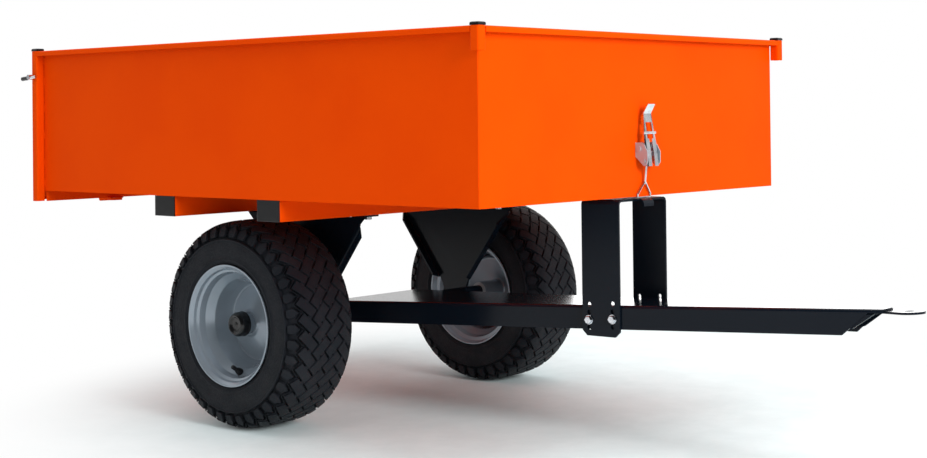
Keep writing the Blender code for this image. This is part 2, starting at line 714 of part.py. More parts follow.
def hub_cap_profile():
    """Closed outline of the hub cap: a dome with a dimple, open inboard."""
    r, t, end = HUB_CAP_RADIUS, HUB_CAP_WALL, HUB_CAP_END
    low = end - HUB_CAP_LENGTH
    return [(0.0, end - 0.0015), (0.004, end - 0.0012), (0.0055, end), (r - 0.006, end - 0.0003),
            (r - 0.0018, end - 0.0022), (r, end - 0.0065), (r, low), (r - t, low),
            (r - t, end - 0.007), (r - t - 0.003, end - t - 0.0015), (0.0, end - t - 0.0015)]


def build_wheel(side_name, side):
    """Tyre, rim, bush, hub cap and valve of one wheel."""
    centre = outward(side, (AXLE_X, side * WHEEL_Y, AXLE_Z))
    finish(turned(tyre_profile(), centre, WHEEL_STEPS), f"tyre_{side_name}", "tyre")
    rim = turned(rim_profile(), centre, WHEEL_STEPS)
    seat_out = RIM_HALF_WIDTH - 0.040 + VALVE_UP * 0.012 / 0.0125
    seat_radius = BEAD_RADIUS - 0.0125 + VALVE_UP
    valve_root = Vector((AXLE_X, side * (WHEEL_Y + seat_out), AXLE_Z - seat_radius))
    tilt = math.radians(VALVE_TILT)
    lean = Vector((0.0, side * math.sin(tilt), math.cos(tilt)))
    cut(rim, rod(VALVE_RADIUS + 2 * CLEAR, valve_root - lean * 0.012, valve_root + lean * 0.012, 20))
    finish(rim, f"rim_{side_name}", "rim_silver")
    bore = AXLE_RADIUS + CLEAR
    wall = AXLE_RADIUS + BUSH_WALL
    lip = HUB_RADIUS - 0.001
    bush = [(lip, HUB_OUT + CLEAR + BUSH_LIP), (lip, HUB_OUT + CLEAR), (wall, HUB_OUT + CLEAR),
            (wall, -HUB_IN - CLEAR), (lip, -HUB_IN - CLEAR), (lip, -HUB_IN - CLEAR - BUSH_LIP),
            (bore, -HUB_IN - CLEAR - BUSH_LIP), (bore, HUB_OUT + CLEAR + BUSH_LIP)]
    finish(turned(bush, centre, 20), f"hub_bush_{side_name}", "bush")
    finish(turned(hub_cap_profile(), centre, 24), f"hub_cap_{side_name}", "cap_plastic")
    v = VALVE_RADIUS
    stem = [(0.0, VALVE_LENGTH), (v - 0.0015, VALVE_LENGTH), (v - 0.001, VALVE_LENGTH - 0.008),
            (v - 0.0013, VALVE_LENGTH - 0.009), (v, 0.0040), (v + 0.0015, 0.0030),
            (v + 0.0015, 0.0017), (v, 0.0014), (v, -0.0045), (0.0, -0.0045)]
    turn = lean.to_track_quat("Z", "X").to_matrix().to_4x4()
    valve = turned(stem, Matrix.Translation(valve_root) @ turn, 12)
    finish(valve, f"valve_{side_name}", "valve_rubber")


def build_floor():
    """Floor tray: flanges up at the front and sides, the rear edge folded down as a sill."""
    z = BOX_FLOOR_Z
    half = INNER_HALF
    front = FRONT_X - SHEET - CLEAR
    sill = TAILGATE_FRONT_X + RUNNING + SHEET
    relief = CORNER_RELIEF
    up = z + FLOOR_FLANGE
    down = z - SILL_DEPTH
    points = [(front, -half, z), (front, -half + relief, z), (front, half - relief, z),
              (front, half, z), (front - relief, half, z), (sill + relief, half, z),
              (sill, half, z), (sill, -half, z), (sill + relief, -half, z),
              (front - relief, -half, z)]
    floor = tuple(range(10))
    points += [(front, -half + relief, up), (front, half - relief, up)]
    points += [(front - relief, half, up), (sill + relief, half, up)]
    points += [(sill + relief, -half, up), (front - relief, -half, up)]
    points += [(sill, half, down), (sill, -half, down)]
    faces = [floor, (1, 2, 11, 10), (4, 5, 13, 12), (8, 9, 15, 14), (6, 7, 17, 16)]
    obj = sheet(points, faces, (AXLE_X, 0, BOX_TOP), SHEET, FOLD_RADIUS)
    return finish(obj, "box_floor", "box_paint")


def build_side_panel(side_name, side):
    """Side wall with its rim folded out and down."""
    y = side * HALF_WIDTH
    out = side * (HALF_WIDTH + RIM - SHEET)
    rear = REAR_X
    rim_rear = REAR_X + RIM + CLEAR
    low, top, lip = BOX_FLOOR_Z, BOX_TOP - SHEET, BOX_TOP - RIM_LIP
    points = [(rear, y, low), (FRONT_X, y, low), (FRONT_X, y, top), (rim_rear, y, top),
              (rear, y, top), (FRONT_X, out, top), (rim_rear, out, top),
              (FRONT_X, out, lip), (rim_rear, out, lip)]
    faces = [(0, 1, 2, 3, 4), (2, 3, 6, 5), (5, 6, 8, 7)]
    obj = sheet(points, faces, (AXLE_X, 0, low), SHEET, RIM_FOLD)
    hole = rod(PIN_RADIUS + RUNNING / 2, (POST_X, y - 0.02, PIN_Z), (POST_X, y + 0.02, PIN_Z), 24)
    return finish(cut(obj, hole), f"side_panel_{side_name}", "box_paint")


def build_front_panel():
    """Front wall with its rim folded forward and down."""
    low, top, lip = BOX_FLOOR_Z, BOX_TOP - SHEET, BOX_TOP - RIM_LIP
    out = FRONT_X + RIM - SHEET
    wide = HALF_WIDTH - CLEAR
    points = [(FRONT_X, -INNER_HALF, low), (FRONT_X, INNER_HALF, low),
              (FRONT_X, INNER_HALF, top), (FRONT_X, -INNER_HALF, top),
              (out, wide, top), (out, -wide, top), (out, wide, lip), (out, -wide, lip)]
    faces = [(0, 1, 2, 3), (3, 2, 4, 5), (5, 4, 6, 7)]
    obj = sheet(points, faces, (AXLE_X, 0, low), SHEET, RIM_FOLD)
    return finish(obj, "front_panel", "box_paint")


def build_corners(side_name, side):
    """Front corner tube and rear post with their caps."""
    inner, outer = side * (HALF_WIDTH + CLEAR), side * (HALF_WIDTH + RIM)
    low_y, high_y = min(inner, outer), max(inner, outer)
    size = RIM - CLEAR
    tube = square_tube((FRONT_X + CLEAR, low_y, BOX_TOP - CORNER_TUBE_LENGTH),
                       (FRONT_X + RIM, high_y, BOX_TOP), 2, TUBE_WALL)
    finish(tube, f"corner_tube_{side_name}", "box_paint")
    middle = side * (HALF_WIDTH + (RIM + CLEAR) / 2)
    frame = Matrix.Translation((FRONT_X + (RIM + CLEAR) / 2, middle, BOX_TOP))
    finish(plug_cap(size, size, CAP_HEIGHT, TUBE_WALL, frame),
           f"corner_cap_{side_name}", "cap_plastic")
    post = square_tube((REAR_X, low_y, BOX_FLOOR_Z - POST_DROP),
                       (REAR_X + RIM - CLEAR, high_y, BOX_TOP), 2, TUBE_WALL)
    hole = rod(PIN_RADIUS + RUNNING / 2, (POST_X, inner - side * 0.01, PIN_Z),
               (POST_X, outer + side * 0.01, PIN_Z), 24)
    finish(cut(post, hole), f"rear_post_{side_name}", "box_paint")
    frame = Matrix.Translation((REAR_X + size / 2, middle, BOX_TOP))
    finish(plug_cap(size, size, CAP_HEIGHT, TUBE_WALL, frame),
           f"post_cap_{side_name}", "cap_plastic")


def build_cross_tube(end, step):
    """Cross tube under the floor with its two end caps."""
    x = AXLE_X + step * CROSS_SPACING / 2
    reach = HALF_WIDTH - CROSS_CAP - CLEAR
    tube = square_tube((x - CROSS_WIDTH / 2, -reach, CROSS_LOW),
                       (x + CROSS_WIDTH / 2, reach, CROSS_TOP), 1, TUBE_WALL)
    for _, side in SIDES:
        bolt_y = side * (BRACKET_FACE - TAB_BOLT_INSET)
        cut(tube, rod(BOLT_RADIUS + RUNNING / 2, (x, bolt_y, CROSS_LOW - 0.01),
                      (x, bolt_y, CROSS_LOW + 0.01), 20))
    finish(tube, f"cross_tube_{end}", "box_paint")
    for side_name, side in SIDES:
        frame = outward(side, (x, side * reach, (CROSS_LOW + CROSS_TOP) / 2))
        finish(plug_cap(CROSS_WIDTH, CROSS_HEIGHT, CROSS_CAP, TUBE_WALL, frame),
               f"cross_cap_{end}_{side_name}", "cap_plastic")


def bracket_half(rise):
    """Half width of the V at a height above the axle."""
    span = BRACKET_TOP_Z - AXLE_Z - BRACKET_WAIST_RISE
    slope = (BRACKET_TOP_HALF - BRACKET_WAIST_HALF) / span
    return BRACKET_WAIST_HALF + slope * (rise - BRACKET_WAIST_RISE)


def build_bracket(side_name, side):
    """V-shaped plate that carries the box on the axle, with folded edges and top tabs."""
    face = side * BRACKET_FACE
    top = BRACKET_TOP_Z - AXLE_Z
    low, high = BRACKET_FLANGE_LOW, BRACKET_FLANGE_HIGH
    slope = (BRACKET_TOP_HALF - BRACKET_WAIST_HALF) / (top - BRACKET_WAIST_RISE)
    lean = math.atan(slope)
    offset = bracket_half(0.0) * math.cos(lean)
    along = math.sqrt(BRACKET_END_RADIUS ** 2 - offset ** 2)
    join = math.atan2(-offset * math.sin(lean) + along * math.cos(lean),
                      offset * math.cos(lean) + along * math.sin(lean))
    tab_in = CROSS_SPACING / 2 - TAB_WIDTH / 2
    tab_out = CROSS_SPACING / 2 + TAB_WIDTH / 2
    points = []
    for way in (1, -1):
        points += [(way * tab_in, top), (way * tab_out, top),
                   (way * BRACKET_TOP_HALF, top), (way * bracket_half(high), high),
                   (way * bracket_half(low), low)]
    arc = 18
    lobe = []
    for i in range(arc + 1):
        angle = join + (-math.pi - 2 * join) * i / arc
        lobe.append((BRACKET_END_RADIUS * math.cos(angle), BRACKET_END_RADIUS * math.sin(angle)))
    verts = [(AXLE_X + x, face, AXLE_Z + z) for x, z in points + lobe]
    web = (0, 1, 2, 3, 4) + tuple(range(10, 10 + arc + 1)) + (9, 8, 7, 6, 5)
    start = len(verts)
    in_y = side * (BRACKET_FACE - BRACKET_FLANGE)
    for way in (1, -1):
        for rise in (high - BRACKET_CHAMFER, low + BRACKET_CHAMFER / 4):
            verts.append((AXLE_X + way * bracket_half(rise), in_y, AXLE_Z + rise))
    tab_y = side * (BRACKET_FACE - TAB_LENGTH)
    for way in (1, -1):
        for x in (tab_in, tab_out):
            verts.append((AXLE_X + way * x, tab_y, BRACKET_TOP_Z))
    faces = [web, (3, 4, start + 1, start), (8, 9, start + 3, start + 2),
             (0, 1, start + 5, start + 4), (5, 6, start + 7, start + 6)]
    obj = sheet(verts, faces, (AXLE_X, 0, AXLE_Z), BRACKET_PLATE, BRACKET_FOLD)
    cut(obj, rod(AXLE_RADIUS + CLEAR, (AXLE_X, face - 0.03, AXLE_Z), (AXLE_X, face + 0.03, AXLE_Z), 32))
    for step in (-1, 1):
        x = AXLE_X + step * CROSS_SPACING / 2
        y = side * (BRACKET_FACE - TAB_BOLT_INSET)
        cut(obj, rod(BOLT_RADIUS + RUNNING / 2, (x, y, CROSS_LOW - 0.02), (x, y, CROSS_LOW + 0.02), 20))
    finish(obj, f"axle_bracket_{side_name}", "frame_paint")
    for end, step in (("rear", -1), ("front", 1)):
        x = AXLE_X + step * CROSS_SPACING / 2
        y = side * (BRACKET_FACE - TAB_BOLT_INSET)
        frame = Matrix.Translation((x, y, BRACKET_TOP_Z - BRACKET_PLATE)) @ Matrix.Rotation(math.pi, 4, "X")
        grip = BRACKET_PLATE + CLEAR + TUBE_WALL
        finish(bolt(grip, frame), f"bracket_bolt_{end}_{side_name}", "zinc")


def build_tailgate():
    """Rear wall pressed as a shallow pan, open to the rear, with pin holes in its ends."""
    front = TAILGATE_FRONT_X
    rear = REAR_X
    half = HALF_WIDTH - SHEET - RUNNING
    low = BOX_FLOOR_Z - TAILGATE_LOW
    top = BOX_TOP
    lip = TAILGATE_LIP
    relief = CORNER_RELIEF
    side_rear = rear + TAILGATE_SIDE_LIP
    points = [(front, -half, low), (front, half, low), (front, half, low + relief),
              (front, half, top - relief), (front, half, top), (front, -half, top),
              (front, -half, top - relief), (front, -half, low + relief),
              (rear, -half, low), (rear, half, low), (rear, -half, top), (rear, half, top),
              (rear, -half, low + lip), (rear, half, low + lip),
              (rear, -half, top - lip), (rear, half, top - lip),
              (side_rear, half, low + relief), (side_rear, half, top - relief),
              (side_rear, -half, top - relief), (side_rear, -half, low + relief)]
    faces = [tuple(range(8)), (0, 1, 9, 8), (4, 5, 10, 11), (8, 9, 13, 12), (11, 10, 14, 15),
             (2, 3, 17, 16), (6, 7, 19, 18)]
    obj = sheet(points, faces, (rear - 1.0, 0, (low + top) / 2), SHEET, FOLD_RADIUS)
    for _, side in SIDES:
        y = side * half
        cut(obj, rod(PIN_RADIUS + RUNNING / 2, (POST_X, y - 0.01, PIN_Z), (POST_X, y + 0.01, PIN_Z), 24))
    return finish(obj, "tailgate", "box_paint")


def build_hinge(side_name, side):
    """Strap with two knuckles under the sill, and the tailgate's leaf with its pin."""
    y = side * HINGE_SPREAD / 2
    half = HINGE_WIDTH / 2
    slot = KNUCKLE_WIDTH / 2 + RUNNING / 2
    sill_low = BOX_FLOOR_Z - SILL_DEPTH
    strap_z = sill_low - CLEAR - STRAP_THICKNESS / 2
    back = HINGE_X + KNUCKLE_RADIUS + 2 * RUNNING
    front = HINGE_X + STRAP_LENGTH
    chamfer = STRAP_CHAMFER
    outline = [(front, -half + chamfer), (front, half - chamfer), (front - chamfer, half),
               (HINGE_X, half), (HINGE_X, slot), (back, slot), (back, -slot),
               (HINGE_X, -slot), (HINGE_X, -half), (front - chamfer, -half)]
    strap = flat(outline, STRAP_THICKNESS, Matrix.Translation((0, y, strap_z)))
    for way in (-1, 1):
        fuse(strap, rod(KNUCKLE_RADIUS, (HINGE_X, y + way * slot, HINGE_Z),
                        (HINGE_X, y + way * half, HINGE_Z), 20))
    cut(strap, rod(HINGE_PIN_RADIUS + CLEAR, (HINGE_X, y - 0.03, HINGE_Z),
                   (HINGE_X, y + 0.03, HINGE_Z), 16))
    finish(strap, f"hinge_strap_{side_name}", "box_paint")
    neck = KNUCKLE_WIDTH / 2
    shoulder = KNUCKLE_RADIUS + 2 * RUNNING
    leaf_top = LEAF_HEIGHT
    clip = LEAF_CHAMFER
    web = neck - CLEAR
    root = KNUCKLE_RADIUS / 4
    wing = shoulder + RUNNING
    shape = [(-web, root), (web, root), (web, shoulder), (half, wing), (half, leaf_top - clip),
             (half - clip, leaf_top), (-half + clip, leaf_top), (-half, leaf_top - clip),
             (-half, wing), (-web, shoulder)]
    plate_x = REAR_X - CLEAR - HINGE_PLATE / 2
    stand = Matrix.Translation((plate_x, y, HINGE_Z)) @ Matrix.Rotation(math.pi / 2, 4, "Z") \
        @ Matrix.Rotation(math.pi / 2, 4, "X")
    leaf = flat(shape, HINGE_PLATE, stand)
    fuse(leaf, rod(KNUCKLE_RADIUS, (HINGE_X, y - neck, HINGE_Z), (HINGE_X, y + neck, HINGE_Z), 20),
         rod(HINGE_PIN_RADIUS, (HINGE_X, y - half, HINGE_Z), (HINGE_X, y + half, HINGE_Z), 16))
    return finish(leaf, f"hinge_leaf_{side_name}", "box_paint")


def build_pin(side_name, side):
    """T-handled locking pin through the rear post, with a sleeved grip."""
    tip = HALF_WIDTH - SHEET - RUNNING + 0.0005
    seat = HALF_WIDTH + RIM + PIN_OUT
    handle = seat + CLEAR + PIN_COLLAR_RADIUS
    pin = rod(PIN_RADIUS, (POST_X, side * tip, PIN_Z), (POST_X, side * handle, PIN_Z), 20)
    collar = rod(PIN_COLLAR_RADIUS, (POST_X, side * (seat + CLEAR), PIN_Z),
                 (POST_X, side * (handle + PIN_COLLAR_RADIUS * 0.7), PIN_Z), 20)
    centre = Vector((POST_X, side * handle, PIN_Z - PIN_HANDLE_DROP))
    fore = centre + Vector((PIN_HANDLE_FORE, 0, PIN_HANDLE_FORE * math.tan(HANDLE_TILT)))
    aft = centre - Vector((PIN_HANDLE_AFT, 0, PIN_HANDLE_AFT * math.tan(HANDLE_TILT)))
    fuse(pin, collar, rod(PIN_HANDLE_RADIUS, aft, fore, 16))
    finish(pin, f"tailgate_pin_{side_name}", "zinc")
    way = (aft - fore).normalized()
    near = aft - way * (PIN_GRIP_LENGTH - PIN_GRIP_OVER)
    grip = rod(PIN_GRIP_RADIUS, near, aft + way * PIN_GRIP_OVER, 16)
    round_over(grip, 0.001, 1)
    cut(grip, rod(PIN_HANDLE_RADIUS + CLEAR, near - way * 0.01, aft + way * CLEAR, 16))
    return finish(grip, f"pin_grip_{side_name}", "cap_plastic")


def latch_frame():
    """Pivot places of the latch: lever pivot and pull-rod pivot."""
    pivot = Vector((FRONT_X + LATCH_PIVOT_OUT, 0, LATCH_PIVOT_Z))
    rise = math.sqrt(LATCH_CRANK ** 2 - LATCH_CRANK_BACK ** 2)
    crank = pivot + Vector((-LATCH_CRANK_BACK, 0, rise))
    return pivot, crank


def build_latch_base():
    """Base plate on the front wall with two ears and short pivots."""
    pivot, _ = latch_frame()
    back = FRONT_X + CLEAR
    low = LATCH_PIVOT_Z + LATCH_BASE_LOW
    high = LATCH_PIVOT_Z + LATCH_BASE_HIGH
    half = LATCH_BASE_HALF
    base = block((LATCH_PLATE, 2 * half, high - low),
                 (back + LATCH_PLATE / 2, 0, (low + high) / 2))
    for side in (-1, 1):
        y = side * (half - CLEAR - LATCH_PLATE / 2)
        r = LATCH_EAR_RADIUS
        root = back - pivot.x + LATCH_PLATE / 2
        outline = [(root, LATCH_BASE_LOW)]
        outline += [(r * math.sin(math.radians(a)), -r * math.cos(math.radians(a)))
                    for a in range(0, 91, 18)]
        outline += [(r, LATCH_BASE_HIGH / 2), (LATCH_EAR_CHAMFER / 2, LATCH_BASE_HIGH - LATCH_EAR_CHAMFER),
                    (-LATCH_EAR_CHAMFER, LATCH_BASE_HIGH), (root, LATCH_BASE_HIGH)]
        ear = flat(outline, LATCH_PLATE, Matrix.Translation((pivot.x, y, pivot.z))
                   @ Matrix.Rotation(math.pi / 2, 4, "X"))
        inside, outside = LEVER_HALF - LATCH_PLATE - RUNNING, half + LATCH_RIVET_HEIGHT
        rivet = [(0.0, outside), (LATCH_RIVET_RADIUS, outside), (LATCH_RIVET_RADIUS, half - 2 * CLEAR),
                 (LATCH_STUB_RADIUS, half - 2 * CLEAR), (LATCH_STUB_RADIUS, inside), (0.0, inside)]
        fuse(base, ear, turned(rivet, outward(side, pivot), 16))
        middle = (pivot.x - LATCH_EAR_RIVET_BACK, pivot.z + LATCH_EAR_RIVET_UP)
        fuse(base, rod(LATCH_RIVET_RADIUS, (middle[0], y, middle[1]),
                       (middle[0], side * outside, middle[1]), 16))
    rivet_z = high - 0.009
    fuse(base, rod(LATCH_RIVET_RADIUS, (back + LATCH_PLATE / 2, 0, rivet_z),
                   (back + LATCH_PLATE + LATCH_RIVET_HEIGHT, 0, rivet_z), 16))
    return finish(base, "latch_base", "zinc")


def build_latch_lever():
    """Pressed lever: a channel with slot and window, a bent thumb tab and a cross pin."""
    pivot, crank = latch_frame()
    h, t = LEVER_HALF, LATCH_PLATE
    low, high = (LEVER_FRONT, -LEVER_FOOT), (LEVER_FRONT - LATCH_PLATE, LEVER_KNEE)
    lean = math.atan((high[0] + LEVER_BACK) / (LEVER_TOP - LEVER_KNEE))

    def web_x(rise):
        return high[0] - math.tan(lean) * (rise - LEVER_KNEE)

    def half(rise):
        share = max(0.0, (rise - LEVER_BEND) / (LEVER_TOP - LEVER_BEND))
        return h + (LEVER_TOP_HALF - h) * share

    back_rise = LEVER_TOP - LEVER_DEPTH
    outline = [low, high, (web_x(LEVER_BEND), LEVER_BEND), (web_x(LEVER_TOP), LEVER_TOP),
               (web_x(back_rise) - LEVER_DEPTH, back_rise), (web_x(LEVER_BEND) - LEVER_DEPTH, LEVER_BEND),
               (crank.x - pivot.x - LEVER_DEPTH, crank.z - pivot.z + 2 * LATCH_PLATE),
               (-LEVER_DEPTH - t / 2, 0.0), (-t, -LEVER_RADIUS)]
    count = len(outline)
    points = [(pivot.x + x, side * half(rise), pivot.z + rise)
              for side in (-1, 1) for x, rise in outline]
    points += [(pivot.x + LEVER_THUMB_FORE, side * LEVER_THUMB_HALF, pivot.z + LEVER_TOP + LEVER_THUMB)
               for side in (-1, 1)]
    main_face = (1, 2, 3, count + 3, count + 2, count + 1)
    low_face = (0, 1, count + 1, count)
    thumb = (3, 2 * count, 2 * count + 1, count + 3)
    cheeks = []
    for start in (0, count):
        cheeks += [tuple(start + i for i in (0, 1, 2, 5, 6, 7, 8)), tuple(start + i for i in (2, 3, 4, 5))]
    grow = (pivot.x - 0.2, 0, pivot.z + 0.02)
    lever = sheet(points, [main_face, low_face, thumb] + cheeks, grow, t, LEVER_FOLD)
    for wide, floor, roof in ((LEVER_SLOT_HALF, LEVER_SLOT_LOW, LEVER_WINDOW_LOW + t),
                              (LEVER_WINDOW_HALF, LEVER_WINDOW_LOW, LEVER_WINDOW_HIGH)):
        cut(lever, block((0.03, 2 * wide, roof - floor), (pivot.x + 0.005, 0, pivot.z + (floor + roof) / 2)))
    cut(lever, rod(LATCH_STUB_RADIUS + RUNNING / 2, (pivot.x, -0.04, pivot.z), (pivot.x, 0.04, pivot.z), 20),
        rod(ROD_AXLE_RADIUS + RUNNING / 2, (crank.x, -0.04, crank.z), (crank.x, 0.04, crank.z), 20))
    pin_z = pivot.z + CROSS_PIN_UP
    pin_x = pivot.x + web_x(CROSS_PIN_UP) - t
    fuse(lever, rod(CROSS_PIN_RADIUS, (pin_x, -h - 0.001, pin_z), (pin_x, h + 0.001, pin_z), 16))
    return finish(lever, "latch_lever", "zinc")


def build_latch_loop():
    """Trunnion, pull rod and triangular wire ring that lies on the hook's lip."""
    _, crank = latch_frame()
    stand_off = RUNNING + RING_WIRE_RADIUS
    bar = Vector((FRONT_X + stand_off, 0, SUPPORT_TOP + stand_off))
    way = (bar - crank).normalized()
    inner = LEVER_HALF - LATCH_PLATE - RUNNING
    loop = rod(TRUNNION_RADIUS, (crank.x, -inner + 0.004, crank.z), (crank.x, inner - 0.004, crank.z), 20)
    axle = rod(ROD_AXLE_RADIUS, (crank.x, -LEVER_HALF + 0.0004, crank.z), (crank.x, LEVER_HALF - 0.0004, crank.z), 16)
    neck = crank + way * ROD_LENGTH
    shaft = rod(ROD_RADIUS, crank, neck + way * 0.004, 16)
    shoulder = bar - way * RING_SHOULDER
    half = RING_HALF
    apex = neck + way * 0.001
    points = [(place + Vector((0, y, 0))) for place, y in
              ((apex, -RING_APEX_HALF), (shoulder, -half), (bar, -half),
               (bar, half), (shoulder, half), (apex, RING_APEX_HALF))]
    ring = wire([tuple(p) for p in points], RING_WIRE_RADIUS, cyclic=True)
    fuse(loop, axle, shaft, ring)
    return finish(loop, "latch_loop", "zinc")


def hang_on(axis_name, place_at, names, parent=None):
    """Give moving pieces a parent empty on their joint's axis."""
    empty = bpy.data.objects.new(axis_name, None)
    empty.location = place_at
    empty.empty_display_size = 0.05
    group_named("joint_axes").objects.link(empty)
    if parent is not None:
        bpy.context.view_layer.update()
        empty.parent = parent
        empty.matrix_parent_inverse = parent.matrix_world.inverted()
    bpy.context.view_layer.update()
    for name in names:
        obj = bpy.data.objects[name]
        obj.parent = empty
        obj.matrix_parent_inverse = empty.matrix_world.inverted()
    return empty


def both(*stems):
    """Names of right and left pieces."""
    return [f"{stem}_{side_name}" for stem in stems for side_name, _ in SIDES]


def build_joints():
    """Parent the moving pieces to their axes."""
    box = ["box_floor", "front_panel", "cross_tube_rear", "cross_tube_front", "latch_base"]
    box += both("side_panel", "corner_tube", "corner_cap", "rear_post", "post_cap",
                "cross_cap_rear", "cross_cap_front", "axle_bracket", "bracket_bolt_rear",
                "bracket_bolt_front", "hinge_strap")
    tip = hang_on("box_tip_axis", (AXLE_X, 0, AXLE_Z), box)
    for side_name, side in SIDES:
        hang_on(f"wheel_axis_{side_name}", (AXLE_X, side * WHEEL_Y, AXLE_Z),
                [f"{stem}_{side_name}" for stem in ("tyre", "rim", "hub_bush", "hub_cap", "valve")])
        hang_on(f"pin_axis_{side_name}", (POST_X, side * HALF_WIDTH, PIN_Z),
                [f"tailgate_pin_{side_name}", f"pin_grip_{side_name}"], tip)
    hang_on("tailgate_axis", (HINGE_X, 0, HINGE_Z), ["tailgate"] + both("hinge_leaf"), tip)
    pivot, crank = latch_frame()
    lever = hang_on("latch_lever_axis", pivot, ["latch_lever"], tip)
    hang_on("latch_loop_axis", crank, ["latch_loop"], lever)


def main():
    """Build every piece of the trailer."""
    clear_file()
    build_drawbar()
    build_tongue()
    build_support()
    build_support_bolts()
    build_axle()
    build_floor()
    build_front_panel()
    build_cross_tube("rear", -1)
    build_cross_tube("front", 1)
    build_tailgate()
    build_latch_base()
    build_latch_lever()
    build_latch_loop()
    for side_name, side in SIDES:
        build_wheel(side_name, side)
        build_side_panel(side_name, side)
        build_corners(side_name, side)
        build_bracket(side_name, side)
        build_hinge(side_name, side)
        build_pin(side_name, side)
    build_joints()


main()
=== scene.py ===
"""Looks of a garden trailer: studio, finishes, treaded wheels, bolts and weld beads.

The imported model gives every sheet, tube and joint in its place. This script paints them and adds
what the camera sees in finer detail: turned wheels with cut tread, chamfered bolts and welds.
Metres, +Z up, +X towards the hitch, +Y to the trailer's left.
"""

import json
import logging
import math
from dataclasses import dataclass, field
from enum import Enum

import bmesh
import bpy
from mathutils import Matrix, Vector

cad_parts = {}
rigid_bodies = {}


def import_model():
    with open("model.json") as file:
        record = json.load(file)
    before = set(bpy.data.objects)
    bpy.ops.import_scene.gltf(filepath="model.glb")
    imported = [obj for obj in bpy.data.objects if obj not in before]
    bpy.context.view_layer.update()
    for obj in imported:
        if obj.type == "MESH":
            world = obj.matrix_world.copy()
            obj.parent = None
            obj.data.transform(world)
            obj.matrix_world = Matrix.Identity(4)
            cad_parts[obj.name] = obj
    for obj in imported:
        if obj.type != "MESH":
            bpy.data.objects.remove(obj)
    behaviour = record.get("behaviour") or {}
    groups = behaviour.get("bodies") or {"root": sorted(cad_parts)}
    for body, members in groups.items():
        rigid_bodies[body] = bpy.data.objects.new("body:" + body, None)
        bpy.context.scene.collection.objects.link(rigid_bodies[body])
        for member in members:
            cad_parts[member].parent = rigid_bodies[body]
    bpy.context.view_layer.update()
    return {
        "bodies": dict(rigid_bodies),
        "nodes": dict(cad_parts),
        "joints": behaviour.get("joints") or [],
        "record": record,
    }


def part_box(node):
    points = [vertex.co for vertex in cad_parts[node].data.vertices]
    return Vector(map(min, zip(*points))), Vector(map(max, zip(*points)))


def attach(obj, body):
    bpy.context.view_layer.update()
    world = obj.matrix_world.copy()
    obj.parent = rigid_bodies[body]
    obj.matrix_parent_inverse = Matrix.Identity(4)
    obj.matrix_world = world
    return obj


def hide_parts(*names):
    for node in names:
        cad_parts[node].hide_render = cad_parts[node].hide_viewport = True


LOG = logging.getLogger("garden_trailer")
FULL_TURN = 2 * math.pi
WHITE = (1.0, 1.0, 1.0, 1.0)
Pair = tuple[float, float]
Point = tuple[float, float, float]
Colour = tuple[float, float, float]
Profile = list[Pair]
Runs = list[list[Point]]
Object = bpy.types.Object
Material = bpy.types.Material
Tree = bpy.types.NodeTree
Socket = bpy.types.NodeSocket
Sockets = bpy.types.bpy_prop_collection


class Side(Enum):
    """Side of the trailer, seen towards the hitch."""

    RIGHT = -1
    LEFT = 1

    @property
    def label(self) -> str:
        """Ending of the names of this side's pieces."""
        return self.name.lower()


class Slot(Enum):
    """Material slots of the record."""

    BOX = "box_paint"
    FRAME = "frame_paint"
    PLASTIC = "cap_plastic"
    ZINC = "zinc"
    RIM = "rim_silver"
    TYRE = "tyre"
    VALVE = "valve_rubber"
    BUSH = "bush"


@dataclass(frozen=True)
class Places:
    """Places of the wheels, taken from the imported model."""

    axle: Vector
    wheel_y: float
    tyre_radius: float

    @classmethod
    def measured(cls) -> "Places":
        """Read the places from the model.

        Returns:
            The filled-in places.
        """
        low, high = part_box("tyre_left")
        middle = (low + high) / 2
        return cls(Vector((middle.x, 0.0, middle.z)), middle.y, (high.z - low.z) / 2)

    def wheel(self, side: Side) -> Vector:
        """Middle of one wheel."""
        return self.axle + Vector((0.0, side.value * self.wheel_y, 0.0))


# Shader tools

